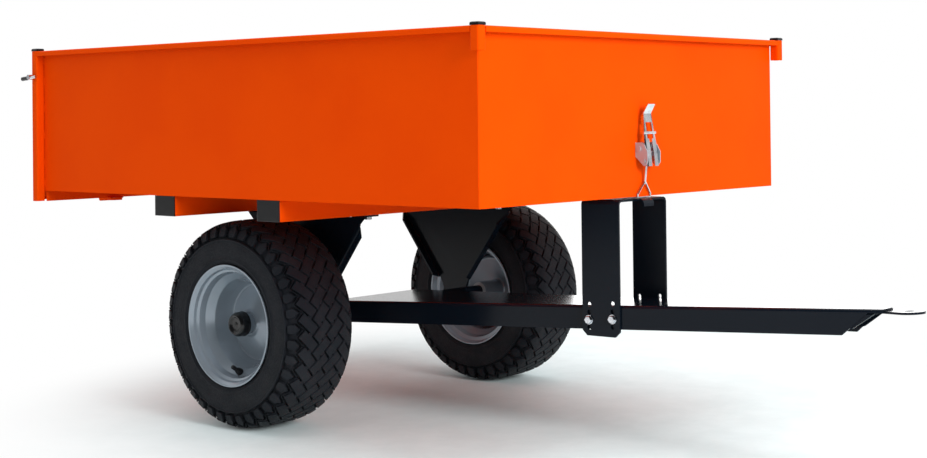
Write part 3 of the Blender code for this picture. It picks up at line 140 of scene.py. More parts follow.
class NodeSheet:
    """A node tree being filled: makes nodes, sets their values and joins them."""

    def __init__(self, tree: Tree) -> None:
        """Start on a tree."""
        self.tree = tree

    def feed(self, node: bpy.types.Node, inputs: dict) -> None:
        """Set or join inputs of a node.

        Args:
            node: The node.
            inputs: Value or socket for each input, by name or number.
        """
        for name, value in inputs.items():
            if isinstance(value, Socket):
                self.tree.links.new(value, node.inputs[name])
            else:
                node.inputs[name].default_value = value

    def add(self, kind: str, inputs: dict | None = None, **settings) -> bpy.types.Node:
        """Make a node.

        Args:
            kind: Blender's name of the node type.
            inputs: Value or socket for each input, by name or number.
            settings: Attributes of the node.

        Returns:
            The new node.
        """
        node = self.tree.nodes.new(kind)
        for name, value in settings.items():
            setattr(node, name, value)
        self.feed(node, inputs or {})
        return node

    def math(self, operation: str, *values, clamp: bool = False) -> Socket:
        """Join numbers or sockets by a Math node, kept between 0 and 1 if clamped."""
        inputs = dict(enumerate(values))
        return self.add("ShaderNodeMath", inputs, operation=operation, use_clamp=clamp).outputs[0]

    def ramp(self, value: Socket, low: float, high: float, to_low: float = 0.0,
             to_high: float = 1.0) -> Socket:
        """Map a value smoothly from one range to another."""
        inputs = {0: value, 1: low, 2: high, 3: to_low, 4: to_high}
        return self.add("ShaderNodeMapRange", inputs, interpolation_type="SMOOTHSTEP").outputs[0]

    def noise(self, vector: Socket, scale, detail: float = 3.0,
              roughness: float = 0.5) -> Socket:
        """Noise value of a place, at a scale that is a number or a socket."""
        return self.add("ShaderNodeTexNoise", {"Vector": vector, "Scale": scale, "Detail": detail,
                                               "Roughness": roughness}).outputs["Fac"]

    def mix(self, factor, first, second) -> Socket:
        """Mix two colours by the second one's share."""
        return self.add("ShaderNodeMix", {0: factor, 6: first, 7: second}, data_type="RGBA").outputs[2]

    def seen_rays(self) -> tuple[Socket, Socket]:
        """Tell the rays that show the scene directly from those that show it in a mirror.

        Returns:
            Whether a ray comes from the camera, and whether it comes by way of a mirror or glass.
        """
        rays = self.add("ShaderNodeLightPath").outputs
        mirror = self.math("MAXIMUM", rays["Is Glossy Ray"], rays["Is Transmission Ray"])
        return rays["Is Camera Ray"], mirror

    def switch(self, factor, first, second) -> Socket:
        """Mix two numbers by the second one's share."""
        return self.add("ShaderNodeMix", {0: factor, 2: first, 3: second}, data_type="FLOAT").outputs[0]


def rgba(colour: Colour) -> tuple[float, float, float, float]:
    """Colour with full opacity."""
    return (*colour, 1.0)


class Effects:
    """Shader node groups that several finishes share."""

    def __init__(self) -> None:
        """Build every group once."""
        self.drift = self._tone_drift()
        self.peel = self._peel_skin()
        self.dust = self._dust_film()
        self.grain = self._plated_grain()
        self.rings = self._mould_rings()

    @staticmethod
    def _group(name: str, inputs: dict[str, str], outputs: dict[str, str]) \
            -> tuple[NodeSheet, dict, bpy.types.Node]:
        """Open a new shader group.

        Args:
            name: The group's name.
            inputs: Socket type for each input.
            outputs: Socket type for each output.

        Returns:
            The group's sheet, its input sockets by name, and its output node.
        """
        tree = bpy.data.node_groups.new(name, "ShaderNodeTree")
        for way, sockets in (("INPUT", inputs), ("OUTPUT", outputs)):
            for socket, kind in sockets.items():
                tree.interface.new_socket(socket, in_out=way, socket_type=f"NodeSocket{kind}")
        sheet = NodeSheet(tree)
        return sheet, sheet.add("NodeGroupInput").outputs, sheet.add("NodeGroupOutput")

    def _tone_drift(self) -> Tree:
        """Slow change of tone over a surface.

        Returns:
            The group.
        """
        sheet, given, result = self._group(
            "tone_drift", {"Vector": "Vector", "Colour": "Color", "Second": "Color",
                           "Scale": "Float", "Amount": "Float"}, {"Colour": "Color"})
        cloud = sheet.noise(given["Vector"], given["Scale"], 4.0, 0.55)
        mask = sheet.math("MULTIPLY", sheet.ramp(cloud, 0.38, 0.66), given["Amount"])
        sheet.feed(result, {"Colour": sheet.mix(mask, given["Colour"], given["Second"])})
        return sheet.tree

    def _peel_skin(self) -> Tree:
        """Fine skin of sprayed paint or moulded plastic, with a few specks.

        Returns:
            The group.
        """
        sheet, given, result = self._group(
            "peel_skin", {"Vector": "Vector", "Scale": "Float", "Speck": "Float"},
            {"Height": "Float", "Gloss": "Float"})
        wave = sheet.noise(given["Vector"], given["Scale"], 2.0)
        fine = sheet.math("MULTIPLY", given["Scale"], 4.3)
        cell = sheet.add("ShaderNodeTexVoronoi", {"Vector": given["Vector"], "Scale": fine})
        speck = sheet.math("MULTIPLY", sheet.ramp(cell.outputs["Distance"], 0.0, 0.5), given["Speck"])
        sheet.feed(result, {"Height": sheet.math("ADD", wave, speck),
                            "Gloss": sheet.ramp(wave, 0.3, 0.7)})
        return sheet.tree

    def _dust_film(self) -> Tree:
        """Pale dust that lies on faces that look up and in low places.

        Returns:
            The group.
        """
        sheet, given, result = self._group(
            "dust_film", {"Vector": "Vector", "Colour": "Color", "Dust": "Color",
                          "Amount": "Float", "Fade Height": "Float"}, {"Colour": "Color"})
        normal = sheet.add("ShaderNodeNewGeometry").outputs["Normal"]
        up = sheet.add("ShaderNodeSeparateXYZ", {0: normal}).outputs["Z"]
        height = sheet.add("ShaderNodeSeparateXYZ", {0: given["Vector"]}).outputs["Z"]
        share = sheet.math("DIVIDE", height, given["Fade Height"])
        low = sheet.math("SUBTRACT", 1.0, share, clamp=True)
        settle = sheet.math("MAXIMUM", sheet.ramp(up, 0.2, 1.0, 0.0, 0.8), low)
        cloud = sheet.ramp(sheet.noise(given["Vector"], 34.0, 5.0, 0.65), 0.35, 0.75)
        mask = sheet.math("MULTIPLY", sheet.math("MULTIPLY", settle, cloud), given["Amount"])
        sheet.feed(result, {"Colour": sheet.mix(mask, given["Colour"], given["Dust"])})
        return sheet.tree

    def _plated_grain(self) -> Tree:
        """Drawn streaks and pale blotches of plated steel.

        Returns:
            The group.
        """
        sheet, given, result = self._group(
            "plated_grain", {"Vector": "Vector", "Stretch": "Vector", "Blotch Scale": "Float"},
            {"Streak": "Float", "Blotch": "Float"})
        long = sheet.add("ShaderNodeVectorMath", {0: given["Vector"], 1: given["Stretch"]},
                         operation="MULTIPLY")
        cell = sheet.add("ShaderNodeTexVoronoi", {"Vector": given["Vector"],
                                                  "Scale": given["Blotch Scale"]})
        shade = sheet.add("ShaderNodeSeparateColor", {0: cell.outputs["Color"]}).outputs[0]
        sheet.feed(result, {"Streak": sheet.noise(long.outputs[0], 1.0, 4.0, 0.6), "Blotch": shade})
        return sheet.tree

    def _mould_rings(self) -> Tree:
        """Fine rings round the wheel's axis.

        Returns:
            The group.
        """
        sheet, given, result = self._group(
            "mould_rings", {"Vector": "Vector", "Spacing": "Float", "Inner": "Float",
                            "Outer": "Float"}, {"Height": "Float"})
        parts = sheet.add("ShaderNodeSeparateXYZ", {0: given["Vector"]}).outputs
        across, above = (sheet.math("POWER", parts[axis], 2.0) for axis in ("X", "Z"))
        radius = sheet.math("SQRT", sheet.math("ADD", across, above))
        turns = sheet.math("DIVIDE", radius, given["Spacing"])
        wave = sheet.math("SINE", sheet.math("MULTIPLY", turns, FULL_TURN))
        band = sheet.math("MULTIPLY", sheet.math("GREATER_THAN", radius, given["Inner"]),
                          sheet.math("LESS_THAN", radius, given["Outer"]))
        sheet.feed(result, {"Height": sheet.math("MULTIPLY", wave, band)})
        return sheet.tree


class Finish:
    """A material being built round one Principled shader."""

    def __init__(self, name: str, centre: Vector | None = None) -> None:
        """Open the material.

        Args:
            name: The material's name.
            centre: Place that the pattern's coordinates start from.
        """
        self.material = bpy.data.materials.new(name)
        self.material.use_nodes = True
        self.sheet = NodeSheet(self.material.node_tree)
        self.place = self.sheet.add("ShaderNodeTexCoord").outputs["Object"]
        if centre is not None:
            self.place = self.sheet.add("ShaderNodeMapping", {0: self.place, 1: -centre}).outputs[0]

    def group(self, tree: Tree, **inputs) -> Sockets:
        """Place a shared group at the material's coordinates.

        Args:
            tree: The group.
            inputs: Values by input name, with _ for a space.

        Returns:
            The group's outputs.
        """
        node = self.sheet.add("ShaderNodeGroup", node_tree=tree)
        self.sheet.feed(node, {"Vector": self.place,
                               **{name.replace("_", " "): value for name, value in inputs.items()}})
        return node.outputs

    def set(self, **values) -> None:
        """Set or join inputs of the shader, named with _ for a space."""
        shader = self.material.node_tree.nodes["Principled BSDF"]
        self.sheet.feed(shader, {name.replace("_", " "): value for name, value in values.items()})

    def bump(self, height: Socket, depth: float) -> None:
        """Raise the surface by a height pattern, as deep as given in metres."""
        self.set(Normal=self.sheet.add("ShaderNodeBump", {"Height": height, "Distance": depth,
                                                          "Strength": 1.0}).outputs[0])


@dataclass(frozen=True)
class Skin:
    """Painted or moulded surface with a drifting tone and a fine grain.

    Drift is scale and amount, grain is scale and depth, coat is weight and roughness, and rings
    are the spacing, inner and outer radius of mould rings round the axle.
    """

    name: str
    colour: Colour
    second: Colour
    roughness: Pair
    grain: Pair
    drift: Pair = (14.0, 1.0)
    speck: float = 1.0
    specular: float = 0.5
    metallic: float = 0.0
    coat: Pair = (0.0, 0.1)
    dust: float = 0.0
    rings: Point | None = None

    def build(self, effects: Effects, centre: Vector | None = None) -> Material:
        """Build the material.

        Args:
            effects: Shared node groups.
            centre: Middle of the rings.

        Returns:
            The material.
        """
        finish = Finish(self.name, centre)
        sheet = finish.sheet
        scale, amount = self.drift
        colour = finish.group(effects.drift, Colour=rgba(self.colour), Second=rgba(self.second),
                              Scale=scale, Amount=amount)["Colour"]
        grain_scale, depth = self.grain
        skin = finish.group(effects.peel, Scale=grain_scale, Speck=self.speck)
        height = skin["Height"]
        if self.dust:
            colour = finish.group(effects.dust, Colour=colour, Dust=rgba((0.20, 0.18, 0.16)),
                                  Amount=self.dust, Fade_Height=0.001)["Colour"]
        if self.rings:
            spacing, inner, outer = self.rings
            rings = finish.group(effects.rings, Spacing=spacing, Inner=inner, Outer=outer)
            height = sheet.math("ADD", sheet.math("MULTIPLY", height, 0.5), rings["Height"])
        coat, coat_roughness = self.coat
        finish.set(Base_Color=colour, Roughness=sheet.ramp(skin["Gloss"], 0.0, 1.0, *self.roughness),
                   Metallic=self.metallic, Specular_IOR_Level=self.specular, Coat_Weight=coat,
                   Coat_Roughness=coat_roughness)
        finish.bump(height, depth)
        return finish.material


@dataclass(frozen=True)
class Plating:
    """Bright zinc plate with drawn streaks."""

    name: str
    colour: Colour
    second: Colour
    roughness: Pair
    streak_depth: float = 0.00004

    def build(self, effects: Effects) -> Material:
        """Build the material.

        Args:
            effects: Shared node groups.

        Returns:
            The material.
        """
        finish = Finish(self.name)
        sheet = finish.sheet
        grain = finish.group(effects.grain, Stretch=(420.0, 420.0, 60.0), Blotch_Scale=260.0)
        tone = finish.group(effects.drift, Colour=rgba(self.colour), Second=rgba(self.second),
                            Scale=60.0, Amount=0.8)
        mixed = sheet.math("ADD", sheet.math("MULTIPLY", grain["Streak"], 0.7),
                           sheet.math("MULTIPLY", grain["Blotch"], 0.3))
        finish.set(Base_Color=tone["Colour"], Metallic=1.0,
                   Roughness=sheet.ramp(mixed, 0.25, 0.75, *self.roughness))
        finish.bump(grain["Streak"], self.streak_depth)
        return finish.material


class Palette:
    """Every finish of the trailer, one for each slot and one for the latch base."""

    def __init__(self, places: Places) -> None:
        """Build the materials.

        Args:
            places: Places of the wheels, for the rings round the axle.
        """
        effects = Effects()
        orange = Skin("orange_powder_coat", (0.82, 0.064, 0.0005), (0.77, 0.053, 0.0005), (0.34, 0.42),
                      grain=(260.0, 0.00006), drift=(5.0, 0.5), speck=0.35, specular=0.015)
        black = Skin("black_gloss_coat", (0.0035, 0.0060, 0.0105), (0.0050, 0.0078, 0.0125), (0.12, 0.18),
                     grain=(320.0, 0.00004), drift=(5.0, 0.6), speck=0.35, specular=0.16)
        silver = Skin("silver_rim_paint", (0.275, 0.320, 0.368), (0.242, 0.283, 0.328), (0.20, 0.27),
                      grain=(700.0, 0.00004), drift=(5.0, 0.5), speck=0.35, metallic=0.42,
                      coat=(0.25, 0.10))
        zinc = Plating("bright_zinc_plate", (0.80, 0.82, 0.86), (0.60, 0.63, 0.68), (0.12, 0.30))
        dull = Skin("dull_zinc_plate", (0.50, 0.55, 0.60), (0.36, 0.41, 0.46), (0.34, 0.46),
                    grain=(600.0, 0.00004), drift=(5.0, 0.9), speck=0.35, metallic=0.40)
        plastic = Skin("black_moulded_plastic", (0.0045, 0.0045, 0.0055), (0.007, 0.007, 0.008),
                       (0.16, 0.24), grain=(900.0, 0.00003))
        rubber = Skin("tyre_rubber", (0.0080, 0.0096, 0.0132), (0.0118, 0.0134, 0.0176), (0.52, 0.68),
                      grain=(420.0, 0.00020), specular=0.16, dust=0.03, rings=(0.0022, 0.122, 0.162))
        stem = Skin("valve_stem_rubber", (0.007, 0.007, 0.009), (0.010, 0.010, 0.012), (0.42, 0.55),
                    grain=(800.0, 0.00005), specular=0.3)
        bush = Skin("grey_nylon", (0.28, 0.28, 0.29), (0.33, 0.33, 0.34), (0.40, 0.50),
                    grain=(500.0, 0.00005))
        self.material = {Slot.TYRE: rubber.build(effects, places.axle)}
        for slot, finish in ((Slot.BOX, orange), (Slot.FRAME, black), (Slot.RIM, silver), (Slot.ZINC, zinc),
                             (Slot.PLASTIC, plastic), (Slot.VALVE, stem), (Slot.BUSH, bush)):
            self.material[slot] = finish.build(effects)
        self.latch_plate = dull.build(effects)

    def dress(self, piece: Object, slot: Slot) -> None:
        """Give a piece one finish."""
        piece.data.materials.clear()
        piece.data.materials.append(self.material[slot])

    def dress_model(self, frame: dict) -> None:
        """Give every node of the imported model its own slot's finish.

        Args:
            frame: The loaded frame.
        """
        for entry in frame["record"]["subparts"]:
            self.dress(frame["nodes"][entry["node"]], Slot(entry["material_slot"]))
        frame["nodes"]["latch_base"].data.materials[0] = self.latch_plate


# Mesh tools

def linked(name: str, data: bpy.types.ID) -> Object:
    """Put a new object into the scene.

    Args:
        name: The object's name.
        data: Its mesh, curve, lamp or camera.

    Returns:
        The object.
    """
    obj = bpy.data.objects.new(name, data)
    bpy.context.scene.collection.objects.link(obj)
    return obj


def new_object(name: str, bm: bmesh.types.BMesh, sharp: float | None = None) -> Object:
    """Make a mesh object and free its bmesh.

    Args:
        name: The object's name.
        bm: Its mesh.
        sharp: Edges bent by more than this many degrees stay sharp; None leaves the shading.

    Returns:
        The linked object.
    """
    mesh = bpy.data.meshes.new(name)
    bm.to_mesh(mesh)
    bm.free()
    obj = linked(name, mesh)
    if sharp is not None:
        mesh.shade_smooth()
        mesh.set_sharp_from_angle(angle=math.radians(sharp))
    return obj


def joined(name: str, parts: list[Object], sharp: float | None = None) -> Object:
    """Join objects in a new one and remove them.

    Args:
        name: The new object's name.
        parts: The objects.
        sharp: New sharp angle in degrees; None keeps each part's own shading.

    Returns:
        The new object.
    """
    bm = bmesh.new()
    for part in parts:
        bm.from_mesh(part.data)
        bpy.data.objects.remove(part)
    return new_object(name, bm, sharp)


def rounded(corners: list[Point], steps: int) -> Profile:
    """Round the corners of a closed outline.

    Args:
        corners: Place and corner radius of each corner.
        steps: Number of short edges for each round.

    Returns:
        The outline's points.
    """
    outline: Profile = []
    for i, (a, b, radius) in enumerate(corners):
        here = Vector((a, b))
        if radius <= 0:
            outline.append((a, b))
            continue
        before = Vector(corners[i - 1][:2]) - here
        after = Vector(corners[(i + 1) % len(corners)][:2]) - here
        reach = min(radius, 0.49 * before.length, 0.49 * after.length)
        start, end = here + before.normalized() * reach, here + after.normalized() * reach
        for k in range(steps + 1):
            t = k / steps
            outline.append(tuple(start * (1 - t) ** 2 + here * 2 * t * (1 - t) + end * t ** 2))
    return outline


def mirrored(points: list[tuple]) -> list[tuple]:
    """Other half of an outline that is alike on both sides, in reverse order."""
    return [(radius, -across, *rest) for radius, across, *rest in reversed(points)]


def turned(name: str, profile: Profile, matrix: Matrix, steps: int, sharp: float) -> Object:
    """Turn a closed outline round the local Z axis.

    Args:
        name: The object's name.
        profile: Radius and height of each point, in order.
        matrix: Where the turned shape goes.
        steps: Number of flats round the axis.
        sharp: Angle past which an edge stays sharp.

    Returns:
        The object, with its place in its mesh.
    """
    bm = bmesh.new()
    rings = []
    for radius, height in profile:
        if radius < 1e-9:
            rings.append([bm.verts.new((0.0, 0.0, height))])
            continue
        angles = (FULL_TURN * i / steps for i in range(steps))
        rings.append([bm.verts.new((radius * math.cos(angle), radius * math.sin(angle), height))
                      for angle in angles])
    for ring, after in zip(rings, rings[1:] + rings[:1]):
        for i in range(steps):
            j = (i + 1) % steps
            corners = [ring[i % len(ring)], ring[j % len(ring)],
                       after[j % len(after)], after[i % len(after)]]
            unique = list(dict.fromkeys(corners))
            if len(unique) > 2:
                bm.faces.new(unique)
    bmesh.ops.recalc_face_normals(bm, faces=bm.faces)
    bm.transform(matrix)
    return new_object(name, bm, sharp)


def anticlockwise(outline: Profile) -> Profile:
    """Corners of an outline, reversed if they run clockwise."""
    area = sum(a[0] * b[1] - b[0] * a[1] for a, b in zip(outline, outline[1:] + outline[:1]))
    return outline if area > 0 else outline[::-1]


def inset(outline: Profile, gap: float) -> Profile:
    """Move every side of an outline inwards.

    Args:
        outline: Corners, anticlockwise.
        gap: Distance; a negative one moves the sides out.

    Returns:
        The new corners.
    """
    moved = []
    for i, corner in enumerate(outline):
        here = Vector(corner)
        first = (here - Vector(outline[i - 1])).normalized()
        second = (Vector(outline[(i + 1) % len(outline)]) - here).normalized()
        inward = Vector((-first.y - second.y, first.x + second.x))
        moved.append(tuple(here + inward * gap / (1 + first.dot(second))))
    return moved


def outward(side: Side, centre: Vector) -> Matrix:
    """Matrix at a place whose local Z points away from the trailer's middle plane."""
    return Matrix.Translation(centre) @ Matrix.Rotation(-side.value * math.pi / 2, 4, "X")


def pointing(place: Vector, way: Vector) -> Matrix:
    """Matrix at a place whose local Z points a given way."""
    return Matrix.Translation(place) @ way.to_track_quat("Z", "Y").to_matrix().to_4x4()


def curve_object(name: str, runs: Runs) -> Object:
    """Make a curve object of straight runs.

    Args:
        name: The object's name.
        runs: Points of each run.

    Returns:
        The linked curve object.
    """
    curve = bpy.data.curves.new(name, "CURVE")
    curve.dimensions = "3D"
    for run in runs:
        spline = curve.splines.new("POLY")
        spline.points.add(len(run) - 1)
        for point, place in zip(spline.points, run):
            point.co = (*place, 1.0)
    return linked(name, curve)


def hand_over(piece: Object, body: str, node: str | None = None) -> None:
    """Let a piece ride on a body, in place of a node where it stands for one.

    Args:
        piece: The piece.
        body: The body's name.
        node: The node that it stands for.
    """
    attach(piece, body)
    if node:
        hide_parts(node)
    LOG.info("%s: %d faces on %s", piece.name, len(piece.data.polygons), body)


# Geometry-node trees

class Repeater:
    """Geometry-node trees that repeat a shape, and the plain meshes they give."""

    def __init__(self) -> None:
        """Build both trees."""
        self.tread_ring = self._tread_ring()
        self.bead_row = self._bead_row()

    @staticmethod
    def _open(name: str, inputs: dict[str, str]) -> tuple[NodeSheet, Sockets]:
        """Open a tree with a geometry and a material among its inputs.

        Args:
            name: The tree's name.
            inputs: Socket type for each further input.

        Returns:
            The sheet and the tree's input sockets.
        """
        tree = bpy.data.node_groups.new(name, "GeometryNodeTree")
        for socket, kind in {"Geometry": "Geometry", **inputs, "Material": "Material"}.items():
            tree.interface.new_socket(socket, in_out="INPUT", socket_type=f"NodeSocket{kind}")
        tree.interface.new_socket("Geometry", in_out="OUTPUT", socket_type="NodeSocketGeometry")
        sheet = NodeSheet(tree)
        return sheet, sheet.add("NodeGroupInput").outputs

    @staticmethod
    def _close(sheet: NodeSheet, given: Sockets,
               geometry: Socket) -> Tree:
        """End a tree in Set Material.

        Args:
            sheet: The tree's sheet.
            given: Its input sockets.
            geometry: The geometry so far.

        Returns:
            The tree.
        """
        dressed = sheet.add("GeometryNodeSetMaterial", {"Geometry": geometry, "Material": given["Material"]})
        sheet.add("NodeGroupOutput", {0: dressed.outputs[0]})
        return sheet.tree

    def _tread_ring(self) -> Tree:
        """Repeat one flat pitch of tread and wrap it round the tyre.

        The flat pitch has its length along X, its width along Y and its height along Z. Profile
        is a curve through radius (X) and width (Y) of the tyre's crown, from side to side.

        Returns:
            The tree.
        """
        sheet, given = self._open("tread_ring", {"Pitches": "Int", "Pitch": "Float", "Profile": "Object"})
        step = sheet.add("ShaderNodeCombineXYZ", {0: given["Pitch"]})
        line = sheet.add("GeometryNodeMeshLine", {"Count": given["Pitches"], "Offset": step.outputs[0]})
        row = sheet.add("GeometryNodeInstanceOnPoints", {"Points": line.outputs[0],
                                                         "Instance": given["Geometry"]})
        real = sheet.add("GeometryNodeRealizeInstances", {0: row.outputs[0]})
        place = sheet.add("GeometryNodeInputPosition").outputs[0]
        along, across, height = sheet.add("ShaderNodeSeparateXYZ", {0: place}).outputs
        whole = sheet.math("MULTIPLY", given["Pitch"], given["Pitches"])
        angle = sheet.math("MULTIPLY", sheet.math("DIVIDE", along, whole), FULL_TURN)
        crown = sheet.add("GeometryNodeObjectInfo", {"Object": given["Profile"]}).outputs["Geometry"]
        length = sheet.add("GeometryNodeCurveLength", {0: crown}).outputs[0]
        reach = sheet.math("ADD", across, sheet.math("MULTIPLY", length, 0.5))
        sample = sheet.add("GeometryNodeSampleCurve", {"Curves": crown, "Length": reach},
                           mode="LENGTH", use_all_curves=False).outputs
        spot = sheet.add("ShaderNodeSeparateXYZ", {0: sample["Position"]}).outputs
        way = sheet.add("ShaderNodeSeparateXYZ", {0: sample["Tangent"]}).outputs
        radius = sheet.math("ADD", spot[0], sheet.math("MULTIPLY", way[1], height))
        lift = sheet.math("SUBTRACT", spot[1], sheet.math("MULTIPLY", way[0], height))
        bent = sheet.add("ShaderNodeCombineXYZ", {
            0: sheet.math("MULTIPLY", radius, sheet.math("COSINE", angle)),
            1: sheet.math("MULTIPLY", radius, sheet.math("SINE", angle)), 2: lift})
        wrapped = sheet.add("GeometryNodeSetPosition", {"Geometry": real.outputs[0],
                                                        "Position": bent.outputs[0]})
        return self._close(sheet, given, wrapped.outputs[0])

    def _bead_row(self) -> Tree:
        """Lay overlapping flattened beads of uneven size along curves, as a weld seam.

        Returns:
            The tree.
        """
        sheet, given = self._open("weld_bead_row", {"Spacing": "Float", "Bead Radius": "Float",
                                                    "Seed": "Int"})
        points = sheet.add("GeometryNodeResampleCurve", {"Curve": given["Geometry"],
                                                         "Length": given["Spacing"]}, mode="LENGTH")
        ball = sheet.add("GeometryNodeMeshUVSphere", {"Segments": 10, "Rings": 7,
                                                      "Radius": given["Bead Radius"]})
        tangent = sheet.add("GeometryNodeInputTangent").outputs[0]
        turn = sheet.add("FunctionNodeAlignRotationToVector", {"Vector": tangent}, axis="X")
        size = sheet.add("FunctionNodeRandomValue", {2: 0.86, 3: 1.12, "Seed": given["Seed"]},
                         data_type="FLOAT").outputs[1]
        shape = sheet.add("ShaderNodeCombineXYZ", {0: sheet.math("MULTIPLY", size, 0.75), 1: size, 2: size})
        row = sheet.add("GeometryNodeInstanceOnPoints", {
            "Points": points.outputs[0], "Instance": ball.outputs["Mesh"],
            "Rotation": turn.outputs[0], "Scale": shape.outputs[0]})
        real = sheet.add("GeometryNodeRealizeInstances", {0: row.outputs[0]})
        smooth = sheet.add("GeometryNodeSetShadeSmooth", {"Geometry": real.outputs[0]})
        return self._close(sheet, given, smooth.outputs[0])

    @staticmethod
    def run(name: str, source: Object, tree: Tree, values: dict,
            matrix: Matrix | None = None) -> Object:
        """Run a tree on an object and keep the plain mesh.

        Args:
            name: The new object's name.
            source: The object that goes in, which is removed.
            tree: The tree.
            values: Value of each input, by name.
            matrix: Where the result goes.

        Returns:
            The new object, with its place in its mesh.
        """
        modifier = source.modifiers.new("repeat", "NODES")
        modifier.node_group = tree
        for item in tree.interface.items_tree:
            if item.item_type == "SOCKET" and item.in_out == "INPUT" and item.name in values:
                modifier[item.identifier] = values[item.name]
        graph = bpy.context.evaluated_depsgraph_get()
        graph.update()
        mesh = bpy.data.meshes.new_from_object(source.evaluated_get(graph), depsgraph=graph)
        mesh.name = name
        bpy.data.objects.remove(source)
        if matrix is not None:
            mesh.transform(matrix)
        return linked(name, mesh)


# Wheels

@dataclass
class Wheel:
    """Pneumatic turf wheel: carcass with cut tread, pressed rim, hub cap and valve.

    Profiles give radius and distance outboard of the wheel's middle, and then a corner radius
    where the corner is rounded.
    """

    side: Side
    places: Places
    palette: Palette
    repeater: Repeater
    half_width: float = 0.080
    rim_radius: float = 0.118
    bead_radius: float = 0.100
    well_radius: float = 0.0875
    rim_sheet: float = 0.0025
    bore: float = 0.0151
    sleeve_radius: float = 0.0205
    sleeve_in: float = 0.045
    sleeve_out: float = 0.042
    pitches: int = 39
    groove: float = 0.0038
    tread_depth: float = 0.0054
    knob_depth: float = 0.0080
    shoulder: float = 0.066
    block_foot: float = 0.0008
    tie_drop: float = 0.0011
    cap_end: float = 0.061
    cap_radius: float = 0.0238
    cap_wall: float = 0.0025
    cap_length: float = 0.022
    valve_radius: float = 0.005
    valve_tilt: float = 57.0
    centre: Vector = field(init=False)
    matrix: Matrix = field(init=False)

    # Raised tread of half a pitch: along and across, in quarter pitches.
    BRICKS = (((1, -9), (-1, -7), (3, -3), (5, -5)), ((1, -5), (-3, -1), (-1, 1), (3, -3)))
    RIBS = (((1, -9), (3.1, -6.9), (3.1, -7.95), (0.95, -9.55)),
            ((5, -9), (2.9, -6.9), (2.9, -7.95), (5.05, -9.55)))
    KNOB = ((2.0, -11.75), (1.6, -11.1), (1.6, -9.45), (3.0, -8.05), (4.4, -9.45), (4.4, -11.1),
            (4.0, -11.75))

    # Ties: middle along and across, and which way they slant; half length and half width.
    TIES = ((4.5, -5.5, 1), (1.4, -1.4, -1), (-1.5, -2.5, -1))
    TIE_SIZE = (0.42, 0.24)

    # Cuts that let the flat blocks bend: axis, spacing and reach; share of a spacing they start at.
    CUTS = ((0, 0.008, 0.050), (1, 0.010, 0.098))
    CUT_START = 0.37

    def __post_init__(self) -> None:
        """Work out the wheel's middle and its outward frame."""
        self.centre = self.places.wheel(self.side)
        self.matrix = outward(self.side, self.centre)

    def crown(self) -> Profile:
        """Half outline over the tread blocks, from the middle to the sidewall.

        Returns:
            Radius and width of each point.
        """
        r = self.places.tyre_radius
        return [(r, 0.0), (r - 0.0004, 0.025), (r - 0.0011, 0.040), (r - 0.0029, 0.0545),
                (r - 0.0076, 0.0667), (r - 0.0150, 0.0746), (r - 0.0245, 0.0787), (r - 0.0335, 0.0797)]

    def tread_floor(self) -> Profile:
        """Half outline of the carcass at the foot of the blocks, deeper at the shoulder.

        Returns:
            Radius and width of each point.
        """
        top = [Vector(point) for point in self.crown()]
        floor = []
        for i, here in enumerate(top):
            before = top[i - 1] if i else Vector((top[1].x, -top[1].y))
            way = top[min(i + 1, len(top) - 1)] - before
            inward = Vector((-way.y, way.x)).normalized()
            share = min(1.0, here.y / self.shoulder) ** 4
            depth = self.tread_depth + (self.knob_depth - self.tread_depth) * share
            floor.append(tuple(here + inward * depth))
        return floor

    def build_carcass(self) -> Object:
        """Turn the hollow tyre without its blocks.

        Returns:
            The carcass.
        """
        r, w, b, rim = self.places.tyre_radius, self.half_width, self.bead_radius, self.rim_radius
        half = self.tread_floor()
        ledge = [(r - 0.0346, w - 0.0006), (r - 0.0354, w + 0.0004), (r - 0.0372, w + 0.0004),
                 (r - 0.0382, w - 0.0008)]
        sidewall = [(r - 0.0480, w), (r - 0.0600, w - 0.0002)]
        rim_guard = [(rim + 0.0130, w - 0.0010), (rim + 0.0115, w - 0.0002), (rim + 0.0098, w - 0.0003),
                     (rim + 0.0080, w - 0.0016), (rim + 0.0035, w - 0.0030)]
        bead = [(rim + 0.0016, w - 0.0046), (rim - 0.0034, w - 0.0160), (b + 0.0074, w - 0.0184)]
        wall = ledge + sidewall + rim_guard + bead
        inner = [(b + 0.0040, w - 0.0280), (b + 0.0090, w - 0.0265), (rim, w - 0.013),
                 (r - 0.045, w - 0.0055), (r - 0.0215, w - 0.021), (r - 0.0120, 0.0)]
        outline = mirrored(half[1:] + wall) + half + wall + inner + mirrored(inner[:-1])
        return turned("carcass", outline, self.matrix, 120, 40.0)

    def block_outlines(self) -> list[tuple[Profile, float]]:
        """Outlines of everything raised in one pitch of tread.

        Two pairs of bricks cover the crown. A zigzag rib closes them in on each shoulder, with a
        knob in each of its bays, and low ties join some bricks across the grooves. The tread
        looks the same when it is turned end for end.

        Returns:
            Each outline with the drop of its top.
        """
        quarter = math.pi * self.places.tyre_radius / self.pitches / 2
        half = [(shape, 0.0) for shape in (*self.BRICKS, *self.RIBS, self.KNOB)]
        long, wide = self.TIE_SIZE
        for along, across, slant in self.TIES:
            corners = [(along + s * long + t * wide, across + slant * (s * long - t * wide))
                       for s, t in ((-1, -1), (1, -1), (1, 1), (-1, 1))]
            half.append((corners, self.tie_drop))
        outlines = []
        for turn in (1, -1):
            for shape, drop in half:
                points = anticlockwise([(turn * u * quarter, turn * v * quarter) for u, v in shape])
                outlines.append((inset(points, 0.0 if drop else self.groove / 2), drop))
        return outlines

